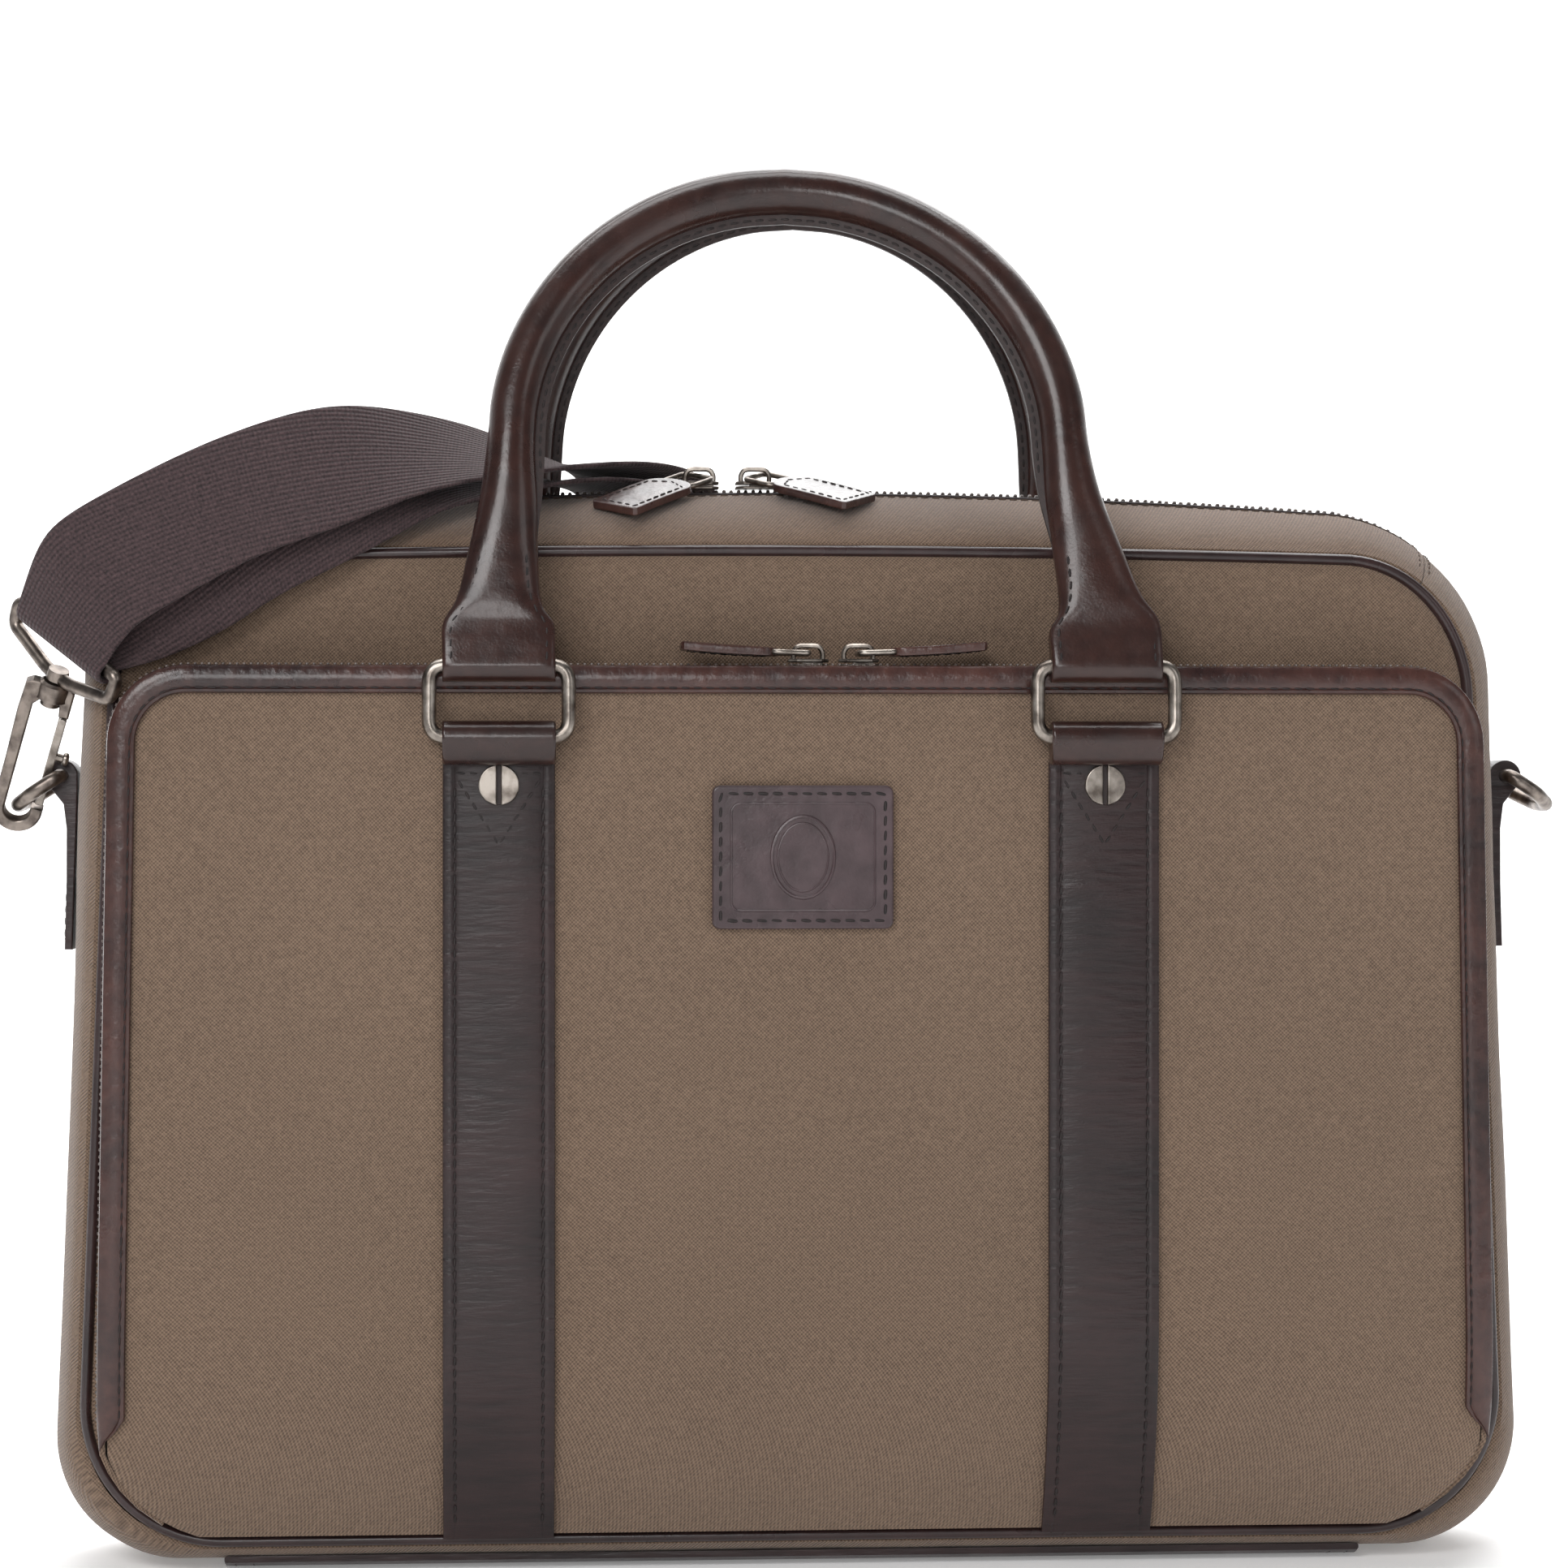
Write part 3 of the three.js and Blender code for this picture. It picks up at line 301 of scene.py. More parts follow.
def metal_look(name, bright, dull, roughness):
    look = Look(name, roughness, 1.0)
    scratch = look.noise(700, 2, (1, 1, 0.08))
    worn = look.scaled(scratch, 0.24, roughness - 0.12)
    colour = look.ramp(look.noise(240, 4), dull, bright, 0.32, 0.62)
    return look.finish(colour, [(scratch, 0.0001, 0.12)], worn)


def webbing_look(dark, light):
    """Ribbed webbing: fine slanting ribs across its width, from the sheet's own coordinates."""
    look = Look("ribbed_webbing", 0.88, Sheen_Weight=0.08, Sheen_Roughness=0.45)
    chart = look.node("UVMap", uv_map="cloth").outputs[0]
    along, across, _ = look.node("SeparateXYZ", {0: chart}).outputs
    slant = look.scaled(along, 0.14, across)
    ribs = look.maths("SINE", look.maths("MULTIPLY", slant, 2 * pi / RIB_PITCH))
    picks = look.maths("SINE", look.maths("MULTIPLY", along, 2 * pi / PICK_PITCH))
    height = look.scaled(ribs, 0.9, look.maths("MULTIPLY", picks, 0.4))
    tone = look.scaled(height, 0.13, look.maths("MULTIPLY", look.noise(1400, 2), 0.9))
    bumps = [(height, 0.0003, 0.5), (look.noise(40, 3), 0.002, 0.1)]
    return look.finish(look.ramp(tone, dark, light, 0.2, 0.8), bumps)


def plain_look(name, dark, light, roughness, scale=900, bump=0.3):
    """A small matt piece, such as thread or tape, with a fine fibre in it."""
    look = Look(name, roughness)
    fibre = look.noise(scale, 3)
    return look.finish(look.ramp(fibre, dark, light, 0.3, 0.7), [(fibre, 0.0002, bump)])


# Each look is a pair: a slot name, and the material that the pieces take.
CANVAS_LOOK = "canvas", canvas_look("canvas", (66, 50, 39), (137, 114, 95))
TOP_CANVAS_LOOK = "canvas", canvas_look("canvas_top", (65, 48, 38), (134, 110, 91))
CANVAS_THREAD_LOOK = "canvas", plain_look("thread_brown", (50, 37, 29), (82, 64, 51), 0.8)
STRIP_LOOK = "leather", leather_look(
    "leather_strip", (22, 11, 12), (46, 28, 28), (0.5, 0.5, 3.2), 0.42, 0.36, 0.12
)
# Lighter, greyer leather than the strips: the badge's own colour with painted sheen from the front
# lamps in it.
BADGE_WITH_SHEEN_LOOK = "leather", leather_look("leather_badge_with_sheen", (46, 34, 36), (82, 65, 68), crease=0.15)
TRIM_LOOK = "leather", leather_look(
    "leather_trim", (34, 18, 17), (76, 48, 42), (1.6, 1, 1.6), 0.4
)
HANDLE_LOOK = "leather", leather_look(
    "leather_handle", (32, 17, 15), (58, 35, 30), (1.2, 1.2, 1.2), 0.2
)
PIPE_LOOK = "leather", leather_look("leather_piping", (32, 20, 20), (56, 38, 38), crease=0.15)
THREAD_LOOK = "leather", plain_look("thread_dark", (16, 10, 10), (36, 25, 24), 0.7)
# Dark leather for the handle's sewn edge; the screw heads also use it on their discs as painted
# shade in the slot.
EDGE_AND_SLOT_SHADE_LOOK = "leather", plain_look("leather_edge_and_slot_shade", (26, 15, 14), (44, 28, 26), 0.6)
NICKEL_LOOK = "nickel", metal_look("antique_nickel", (160, 152, 144), (94, 86, 80), 0.32)
GUNMETAL_LOOK = "gunmetal", metal_look("gunmetal", (142, 132, 124), (84, 76, 72), 0.36)
TAPE_LOOK = "zip_tape", plain_look("zip_tape", (26, 20, 20), (56, 45, 44), 0.85, 1600, 0.4)
COIL_LOOK = "zip_tape", plain_look("zip_coil", (50, 42, 40), (112, 100, 94), 0.42, 500, 0.1)
BOARD_LOOK = "board", plain_look("base_board", (34, 30, 28), (52, 47, 44), 0.9, 300)
WEBBING_LOOK = "webbing", webbing_look((32, 21, 23), (80, 61, 63))


# --- mesh helpers
def loft(sections, loop=False, caps=True):
    """Quads through closed sections with equal numbers of points."""
    s = np.asarray(sections, float)
    n, m = s.shape[:2]
    faces = []
    for i in range(n if loop else n - 1):
        a, b = i * m, (i + 1) % n * m
        faces += [(a + j, a + (j + 1) % m, b + (j + 1) % m, b + j) for j in range(m)]
    if caps and not loop:
        faces += [tuple(range(m)), tuple(range((n - 1) * m, n * m))]
    return s.reshape(-1, 3), faces


def frames(path, loop):
    """A direction and two directions across it at each point of a path, without twist."""
    p = np.asarray(path, float)
    along = np.roll(p, -1, 0) - np.roll(p, 1, 0) if loop else np.gradient(p, axis=0)
    along /= norm(along, axis=1)[:, None]
    first = np.cross(along[0], (0.31, 0.17, 0.93))
    across = [unit(first if norm(first) >= 0.2 else np.cross(along[0], (1, 0, 0)))]
    for t in along[1:]:
        across.append(square_to(across[-1], t))
    across = np.array(across)
    if loop:
        back = square_to(across[-1], along[0])
        twist = atan2(np.dot(np.cross(back, across[0]), along[0]), np.dot(back, across[0]))
        for i, t in enumerate(along):
            angle = twist * i / len(along)
            across[i] = across[i] * cos(angle) + np.cross(t, across[i]) * sin(angle)
    return along, across, np.cross(along, across)


def tube(path, radius, loop=False, sides=12):
    _, a, b = frames(path, loop)
    turns = arc(0, 2 * pi, sides + 1, radius)[:-1]
    rows = zip(np.asarray(path, float), a, b)
    return loft([[p + x * u + y * w for x, y in turns] for p, u, w in rows], loop)


def rounded(corners, rounding):
    """A closed path through corners, each rounded by a short curve."""
    out = []
    c = [np.asarray(p, float) for p in corners]
    for before, corner, after in zip(c[-1:] + c, c, c[1:] + c[:1]):
        a = corner + rounding * unit(before - corner)
        b = corner + rounding * unit(after - corner)
        for t in [0] + shares(7):
            out.append((1 - t) ** 2 * a + 2 * t * (1 - t) * corner + t * t * b)
        ahead = after + rounding * unit(corner - after)
        extra = int(norm(ahead - b) / 4)
        out += [lerp(b, ahead, (k + 1) / (extra + 1)) for k in range(extra)]
    return np.array(out)


def curve(points, per=4):
    """A centripetal Catmull-Rom curve through points of any dimension."""
    p = np.asarray(points, float)
    p = np.vstack([2 * p[0] - p[1], p, 2 * p[-1] - p[-2]])
    out = []
    for i in range(1, len(p) - 2):
        near = p[i - 1 : i + 3]
        knots = np.cumsum([0, *np.maximum(1e-6, norm(np.diff(near, axis=0), axis=1)) ** 0.5])
        for k in range(per):
            t, rows = lerp(knots[1], knots[2], k / per), near
            for span in (1, 2):
                ends = zip(rows, rows[1:], knots, knots[span:])
                rows = [lerp(a, b, (t - low) / (high - low)) for a, b, low, high in ends]
            out.append(lerp(*rows, k / per))
    return np.array(out + [p[-2]])


def even(points, pitch, loop=False):
    """Points an even distance apart along a path, with the path's direction at each."""
    p = np.asarray(points, float)
    if loop:
        p = np.vstack([p, p[:1]])
    way = travelled(p)
    count = max(2, int(round(way[-1] / pitch)))
    at = (np.arange(count) + 0.5) * way[-1] / count
    made, ahead, behind = (
        np.stack([np.interp(at + shift, way, column) for column in p.T], 1)
        for shift in (0, 0.3, -0.3)
    )
    return made, ahead - behind


def taken(bm):
    """A bmesh's points and faces. The bmesh is freed."""
    bm.verts.index_update()
    faces = [tuple(v.index for v in f.verts) for f in bm.faces]
    points = np.array([v.co[:] for v in bm.verts])
    bm.free()
    return points, faces


def bevelled(bm, edges, offset, segments):
    bmesh.ops.bevel(bm, geom=edges, offset=offset, segments=segments, profile=0.5, affect="EDGES")
    return taken(bm)


def prism(outline, depth, bevel=0.4, segments=2):
    """A plate of an (x, y) outline from z 0 to depth, with both rims rounded."""
    bm = bmesh.new()
    face = bm.faces.new([bm.verts.new((x, y, 0)) for x, y in outline])
    grown = bmesh.ops.extrude_face_region(bm, geom=[face])["geom"]
    far = [v for v in grown if isinstance(v, bmesh.types.BMVert)]
    bmesh.ops.translate(bm, vec=(0, 0, depth), verts=far)
    rims = [e for e in bm.edges if abs(e.verts[0].co.z - e.verts[1].co.z) < 1e-6]
    return bevelled(bm, rims, bevel, segments)


def slab(x0, x1, y0, y1, z0, z1, bevel=0.4):
    """A block between two corners with its edges rounded."""
    bm = bmesh.new()
    bmesh.ops.create_cube(bm, size=1)
    for v in bm.verts:
        x, y, z = (c + 0.5 for c in v.co)
        v.co = Vector((lerp(x0, x1, x), lerp(y0, y1, y), lerp(z0, z1, z)))
    return bevelled(bm, list(bm.edges), bevel, 2)


def lathe(profile):
    """A turned piece about Z from (radius, height) rows."""
    turns = arc(0, 2 * pi, 25)[:-1]
    return loft([[(r * x, r * y, h) for x, y in turns] for r, h in profile])


def round_rect(width, height, corner):
    out = []
    for sx, sy, start in ((1, 1, 0), (-1, 1, 0.5), (-1, -1, 1), (1, -1, 1.5)):
        first, x, y = start * pi, sx * (width / 2 - corner), sy * (height / 2 - corner)
        out += arc(first, first + pi / 2, 7, corner, x, y)
    return out


def moved(part, origin, x=(1, 0, 0), y=(0, 1, 0), z=(0, 0, 1)):
    points, faces = part
    return np.asarray(origin, float) + np.asarray(points) @ np.array([x, y, z], float), faces


def basis(x_way, z_way):
    """Axes with x along one direction and z roughly along another."""
    x = unit(x_way)
    y = unit(np.cross(z_way, x))
    return x, y, np.cross(x, y)


def upright(part, origin=(0, 0, 0), flip=False):
    """A part drawn in (x, z) with its thickness to the front, or to the back."""
    way = -1 if flip else 1
    return moved(part, origin, (way, 0, 0), (0, 0, 1), (0, -way, 0))


class Beads:
    """Many small rounded pieces, such as stitches or zip teeth, in one mesh."""

    def __init__(self):
        sides, rings = 6, 3
        self.shape, self.faces = [(0, 0, -1.0)], []
        for r in range(1, rings + 1):
            up = -cos(pi * r / (rings + 1))
            wide = sqrt(1 - up * up) ** 0.6
            self.shape += [(x, y, up) for x, y in arc(0, 2 * pi, sides + 1, wide)[:-1]]
        self.shape = np.array(self.shape + [(0, 0, 1.0)])
        top, last = 1 + (rings - 1) * sides, len(self.shape) - 1
        for s in range(sides):
            t = (s + 1) % sides
            self.faces.append((0, 1 + t, 1 + s))
            for a in range(1, top, sides):
                self.faces.append((a + s, a + t, a + sides + t, a + sides + s))
            self.faces.append((top + s, top + t, last))
        self.points, self.all = [], []

    def add(self, centre, a, b, c):
        """c is half the long way, a and b are half the two short ways, as vectors."""
        start = len(self.points) * len(self.shape)
        self.points.append(np.asarray(centre, float) + self.shape @ np.array([a, b, c], float))
        self.all += [tuple(start + k for k in f) for f in self.faces]

    def run(self, path, out, pitch=3.4, length=2.6, radius=0.42, sink=0.04, loop=False):
        """A row of stitches along a path, on a surface that faces that way."""
        at, way = even(path, pitch, loop)
        for i, (p, w) in enumerate(zip(at, way)):
            normal = out(p) if callable(out) else np.asarray(out, float)
            w = unit(w)
            normal = square_to(normal, w)
            side = np.cross(w, normal)
            slant = unit(w + 0.07 * side)
            size = radius * (1 + 0.12 * sin(7.3 * i))
            self.add(p - sink * normal, side * size, normal * size, slant * length / 2)

    def part(self):
        return np.vstack(self.points), self.all


def make(name, body, parts, nodes=(), slot=None, angle=38):
    """One visible piece. parts holds a list of (points, faces) for each look."""
    mesh = bpy.data.meshes.new(name)
    points, faces, numbers, start = [], [], [], 0
    for number, group in enumerate(parts.values()):
        for shape, sides in group:
            points.append(np.asarray(shape, float))
            faces += [tuple(start + k for k in f) for f in sides]
            numbers += [number] * len(sides)
            start += len(shape)
    mesh.from_pydata((np.vstack(points) * MM).tolist(), [], faces)
    mesh.polygons.foreach_set("material_index", numbers)
    bm = bmesh.new()
    bm.from_mesh(mesh)
    bmesh.ops.recalc_face_normals(bm, faces=bm.faces)
    bm.to_mesh(mesh)
    bm.free()
    mesh.shade_smooth()
    mesh.set_sharp_from_angle(angle=radians(angle))
    for _, material in parts:
        mesh.materials.append(material)
    obj = show(name, mesh)
    if body:
        obj.modifiers.new("even_shade", "WEIGHTED_NORMAL").keep_sharp = True
        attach(obj, body)
    slot or next(iter(parts))[0]
    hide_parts(*nodes)
    return obj


def across_fold(obj):
    """The place of a piece on the pocket's front is baked into its mesh."""
    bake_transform(obj)
    return obj


# --- outlines of the body
OUTLINES = {}


def half_outline(size, inset):
    key = (size.low, inset)
    if key not in OUTLINES:
        low, high = size.low - inset, size.high - inset
        bottom, top = size.bottom + inset, size.top - inset
        corner, rx, rz = size.corner - inset, size.roundX - inset, size.roundZ - inset
        out = [((low - corner) * t, bottom) for t in [0] + shares(STEPS.bottom)]
        count = STEPS.corner + 1
        out += arc(-pi / 2, 0, count, corner, low - corner, bottom + corner)[1:]
        for t in shares(STEPS.side):
            out.append((lerp(low, high, t), lerp(bottom + corner, top - rz, t)))
        for x, z in arc(0, pi / 2, STEPS.round + 1)[1:]:
            out.append((high - rx + rx * x, top - rz + rz * z))
        for t in shares(STEPS.top):
            out.append(((high - rx) * (1 - t), top + size.crown * (1 - (1 - t) ** 2)))
        OUTLINES[key] = np.array(out)
    return OUTLINES[key]


def outline_at(size, i, inset):
    """Outline number i, which may be a fraction, from the middle of the bottom: negative is -X."""
    pts = half_outline(size, inset)
    k = min(HALF - 1, int(abs(i)))
    x, z = lerp(pts[k], pts[k + 1], abs(i) - k)
    return copysign(x, i), z


def whole_outline(size, inset):
    half = half_outline(size, inset)
    return np.vstack([half, (half[1:-1] * (-1, 1))[::-1]])


def fullness(i, v):
    """How far the gusset stands out from its two seams, from 0 at a seam to 1."""
    past = abs(i)
    low = min(1, max(0, 1 - (past - STEPS.bottom) / STEPS.corner))
    start = STEPS.bottom + STEPS.corner + STEPS.side
    high = min(1, max(0, (past - start) / STEPS.round))
    flat = 0.15 + 0.47 * low - 0.15 * high
    power = 2.2 - 0.2 * low - 0.6 * high
    s = max(0, (abs(2 * v - 1) - flat) / (1 - flat))
    return max(0, 1 - s**power) ** (1 / power)


def gusset_at(i, v, inset, soft=0.0):
    sx, sz = outline_at(SEAM, i, inset)
    fx, fz = outline_at(BULGE, i, inset)
    out = fullness(i, v)
    p = v3(lerp(sx, fx, out), FRONT + DEPTH * v, lerp(sz, fz, out))
    if soft:
        dent = soft * (rough(p, 42) + 0.5 * rough(p, 17, 5)) * sin(pi * v) ** 0.5
        away = unit((fx - sx, 0, fz - sz))
        p = p + away * min(0.12, dent - 0.35 * soft)
    return p


def outward(normal, p):
    """The normal, turned away from the bag's middle."""
    return normal if np.dot(normal, p - v3(0, 0, MIDDLE_HEIGHT)) > 0 else -normal


def gusset_out(i, v):
    a, b = gusset_at(i - 0.4, v, 0), gusset_at(i + 0.4, v, 0)
    c, d = gusset_at(i, v - 0.01, 0), gusset_at(i, v + 0.01, 0)
    return outward(unit(np.cross(b - a, d - c)), gusset_at(i, v, 0))


def band(indices, v0, v1, outer, inner, across, soft=0.0):
    vs = [lerp(v0, v1, t) for t in [0] + shares(across)]
    sections = []
    for i in indices:
        section = [gusset_at(i, v, outer, soft) for v in vs]
        sections.append(section + [gusset_at(i, v, inner) for v in vs[::-1]])
    return loft(sections)


def main_body():
    numbers = range(-TOP_START, TOP_START + 1)
    gusset = band(numbers, SEAM_CLEAR, 1 - SEAM_CLEAR, 0, CANVAS, 30, 0.8)
    make("gusset_canvas", "bag", {CANVAS_LOOK: [gusset]}, ["body_gusset"])

    ends = [TOP_START + 0.12] + list(range(TOP_START + 1, HALF + 1))
    around = ends + [-i for i in ends[:-1][::-1]]
    low, high = 0.5 - ZIP_SHARE, 0.5 + ZIP_SHARE
    for word, flip in (("front", 1), ("back", -1)):
        points, faces = band(around, SEAM_CLEAR, low, 0, CANVAS, 12, 0.35)
        strip = (points * (1, flip, 1), faces)
        make(f"top_strip_{word}", "bag", {TOP_CANVAS_LOOK: [strip]}, [f"top_gusset_{word}"])

    tape = band(around, low + 0.004, high - 0.004, -0.3, 1.4, 6)
    teeth = Beads()
    at, way = even([gusset_at(i, 0.5, 0) for i in around], 2.1)
    for k, (p, w) in enumerate(zip(at, way)):
        w = unit(w)
        up = outward(unit(np.cross(w, (0, 1, 0))), p)
        shift = 0.75 if k % 2 else -0.75
        teeth.add(p + 0.45 * up + v3(0, shift, 0), w * 0.62, up * 0.7, v3(0, 1.7, 0))
    make("main_zip", "bag", {TAPE_LOOK: [tape], COIL_LOOK: [teeth.part()]}, ["main_zip_chain"])

    sewing = Beads()
    for v in (low - 0.025, high + 0.025):
        row = [gusset_at(i, v, 0) for i in around]
        sewing.run(row, lambda p: unit((p[0] * 0.1, 0, 1)), 3.2, 2.3, 0.3)
    for side in (-1, 1):
        for shift in (-0.5, 0.55):
            i = side * (TOP_START + shift)
            row = [gusset_at(i, v, 0) for v in np.linspace(0.06, 0.94, 31)]
            sewing.run(row, gusset_out(i, 0.5), 3.2, 2.3, 0.3, 0.2)
    make("gusset_stitches", "bag", {CANVAS_THREAD_LOOK: [sewing.part()]})

    for word, y, way in (("front", FRONT, -1), ("back", BACK, 1)):
        pipe = tube([(x, y, z) for x, z in whole_outline(SEAM, 0)], PIPING, True, 14)
        make(f"seam_piping_{word}", "bag", {PIPE_LOOK: [pipe]}, [f"piping_{word}"])
        panel(word, y, way)


def panel(word, y, way):
    """A padded panel: its edge dips into the seam, and its middle stands a little proud."""
    rim = whole_outline(SEAM, 0.7)
    centre = v3(0, 145)
    rings = [(1, -0.5), (0.994, 0.35), (0.985, 0.8), (0.97, 1.05)]
    rings += [(1 - d, 1.1) for d in (0.06, 0.1, 0.16, 0.24, 0.34, 0.46, 0.6, 0.75, 0.88)]
    surface = []
    for size, stand in rings:
        ring = []
        for x, z in centre + (rim - centre) * size:
            out = stand + (0.12 * rough((x, y, z), 30) if size < 0.97 else 0)
            if way > 0:
                out += 1.1 * step(abs(abs(x) - STRIP.x), 17, 40) * (1 - size) ** 0.4
            ring.append((x, y + way * out, z))
        surface.append(ring)
    inside = [[(p[0], y - way * 1.1, p[2]) for p in surface[k]] for k in (-1, 5, 0)]
    points, faces = loft(surface + inside, caps=False)
    end = len(surface) * len(rim)
    faces.append(tuple(range(end - len(rim), end)))
    parts = {CANVAS_LOOK: [(points, faces)]}
    make(f"{word}_panel_canvas", "bag", parts, [f"main_{word}_panel"])


def base():
    reach = 159.5

    def level(v):
        return lerp(SEAM.bottom, BULGE.bottom, fullness(0, v))

    sections = []
    vs = np.linspace(0.05, 0.95, 37)
    for x in (-reach, -reach + 0.4, -120, -60, 0, 60, 120, reach - 0.4, reach):
        thin = 0.5 if abs(x) == reach else 0
        outer = [(x, FRONT + DEPTH * v, level(v) - BULGE.bottom + thin) for v in vs]
        inner = [(x, FRONT + DEPTH * v, level(v) - GAP - 0.1 - thin) for v in vs[::-1]]
        sections.append(outer + inner)
    make("base_patch", "bag", {STRIP_LOOK: [loft(sections)]}, ["base_leather"])
    sewing = Beads()
    for x in (-reach + 3, -reach + 8, reach - 8, reach - 3):
        rows = np.linspace(0.06, 0.94, 41)
        row = [(x, FRONT + DEPTH * v, level(v) - BULGE.bottom + 0.3) for v in rows]
        sewing.run(row, (0, 0, -1), 3.6, 2.6, 0.4, 0)
    make("base_stitches", "bag", {THREAD_LOOK: [sewing.part()]})
    board = moved(prism(round_rect(310, 44, 6), 2.4, 0.5), (0, 0, 5.2))
    make("stiffener", "bag", {BOARD_LOOK: [board]}, ["base_board"])
    pad = upright(prism(round_rect(364, 250, 14), 3, 1.2, 3), (0, 17, 137))
    make("padded_divider", "bag", {CANVAS_LOOK: [pad]}, ["inner_divider"])


# --- front pocket
def face_at(z):
    """The pocket front's depth at a height: it leans back towards its foot."""
    if z >= POCKET.flatFrom:
        return POCKET.face
    t = max(0, (z - POCKET_LOW[0]) / (POCKET.flatFrom - POCKET_LOW[0]))
    return lerp(POCKET.face, POCKET_LOW[1], (1 - t) ** 2.2)


def zip_depth(z):
    """How far behind the pocket's front its zip may reach at a height."""
    return 0.45 * (POCKET_BACK - face_at(z))


def pocket_half(z, inset=0.0):
    """Half the pocket's width at a height."""
    level = POCKET.top - POCKET.corner
    radius = POCKET.corner - inset
    if z > level:
        rise = min(z - level, radius)
        return POCKET.topHalf - POCKET.corner + sqrt(max(0, radius**2 - rise**2))
    share = max(0, z - POCKET.fold) / (level - POCKET.fold)
    drop = max(0, SEAM.bottom + SEAM.corner - z)
    seam = SEAM.low - SEAM.corner + sqrt(SEAM.corner ** 2 - drop**2)
    return min(lerp(POCKET.half, POCKET.topHalf, share), seam - 3) - inset


def pocket_edge(lowest, spacing=6):
    """The pocket's edge from lower left, over the top, to lower right, with outward directions."""
    corner = POCKET.corner
    level = POCKET.top - corner
    count = int((level - lowest) / spacing)
    half = [(pocket_half(z), z) for z in np.linspace(lowest, level, count)]
    half += arc(0, pi / 2, 13, corner, POCKET.topHalf - corner, level)[1:]
    half += [(x, POCKET.top) for x in np.arange(160, 4, -8)]
    points = np.array([(-x, z) for x, z in half] + [(0, POCKET.top)] + half[::-1])
    way = np.gradient(points, axis=0)
    way /= norm(way, axis=1)[:, None]
    return points, np.stack([-way[:, 1], way[:, 0]], 1)


def pocket_front():
    """The pocket's front canvas, a little full between the strips and near its foot."""
    inset, level = 2.2, POCKET.top - POCKET.corner
    levels = list(np.linspace(STRIP.bottom, POCKET.flatFrom, 30))
    levels += list(np.linspace(POCKET.flatFrom, level, 40))[1:]
    radius = POCKET.corner - inset
    levels += [level + radius * sin(pi / 2 * k / 9.3) for k in range(1, 10)]
    sections = []
    for z in levels:
        half = pocket_half(z, inset)
        row = []
        for x in np.linspace(-half, half, 75):
            near = half - abs(x)
            beside = step(abs(abs(x) - STRIP.x), 16, 42) * step(near, 6, 40)
            puff = 1.7 * beside * step(z, 14, 60) * (1 - step(z, 100, 172))
            puff += 0.13 * rough((x, 0, z), 26) * step(near, 8, 20)
            row.append((x, face_at(z) - puff + 0.5 * (1 - step(near, 0, 2)), z))
        row += [(half * share, face_at(z) + CANVAS, z) for share in (1, 0.5, 0, -0.5, -1)]
        sections.append(row)
    return loft(sections)


def pocket_wall():
    """The pocket's side wall. Below the zip it is sewn right up to the front."""
    wall = []
    for (x, z), (ox, oz) in zip(*pocket_edge(14, 5)):
        near = face_at(z) + lerp(1.9, min(6, zip_depth(z)), step(z, 43, 49))
        ring = []
        for t in [0] + shares(8):
            bow = 0.5 * sin(pi * t)
            ring.append((x + ox * bow, lerp(near, POCKET_BACK, t), z + oz * bow))
        ring += [(x - ox * 1.5, y, z - oz * 1.5) for y in (POCKET_BACK, near)]
        wall.append(ring)
    return loft(wall)


def pocket_zip():
    """The tape round the pocket's edge, and its teeth."""
    tape, path = [], []
    for (x, z), (ox, oz) in zip(*pocket_edge(POCKET.fold + 2, 4)):
        near, far = face_at(z) + 0.5, face_at(z) + min(5.6, zip_depth(z) - 0.4)
        middle = lerp(near, far, 0.5)
        bow = [(0, near), (0.35, middle), (0, far), (-1.4, far), (-1.4, near)]
        tape.append([(x + ox * b, y, z + oz * b) for b, y in bow])
        path.append((x, middle, z, ox, oz))
    teeth = Beads()
    for (x, y, z, ox, oz), w in zip(*even(path, 1.9)):
        along, up = unit(w[:3]), v3(ox, 0, oz)
        teeth.add(v3(x, y, z) + 0.55 * up, along * 0.6, up * 0.75, v3(0, 1.5, 0))
    return {TAPE_LOOK: [loft(tape)], COIL_LOOK: [teeth.part()]}


# How far outward and how far forward each point of the binding's section stands.
BINDING = [
    (0.5, 0.9), (0.55, 0.2), (0.3, -0.7), (-0.6, -1.35), (-2.6, -1.75), (-4.6, -1.7),
    (-5.3, -1.5), (-5.7, -1.15), (-6.2, -1.45), (-6.9, -1.35), (-7.25, -0.8), (-7.2, -0.2),
    (-4, 0.0), (-0.8, 0.4),
]


def pocket_binding():
    ring, seam = [], []
    for (x, z), (ox, oz) in zip(*pocket_edge(36, 3)):
        narrow = step(z, 35.5, 46)
        y = face_at(z) - GAP
        rows = [(b * narrow, d * lerp(0.5, 1, narrow)) for b, d in BINDING]
        ring.append([(x + ox * b, y + d, z + oz * b) for b, d in rows])
        if z > 44:
            seam.append((x - ox * 5.7, y - 1.25, z - oz * 5.7))
    sewing = Beads()
    sewing.run(seam, (0, -1, 0), 3.4, 2.5, 0.34, 0.05)
    return {TRIM_LOOK: [loft(ring)], THREAD_LOOK: [sewing.part()]}


def pocket():
    nodes = ["pocket_panel", "pocket_lower_front"]
    across_fold(make("pocket_canvas", None, {CANVAS_LOOK: [pocket_front()]}, nodes))
    make("pocket_wall_canvas", "bag", {CANVAS_LOOK: [pocket_wall()]}, ["pocket_gusset"])
    make("pocket_zip", "bag", pocket_zip(), ["pocket_zip_chain"])
    across_fold(make("pocket_binding_leather", None, pocket_binding(), ["pocket_binding"]))


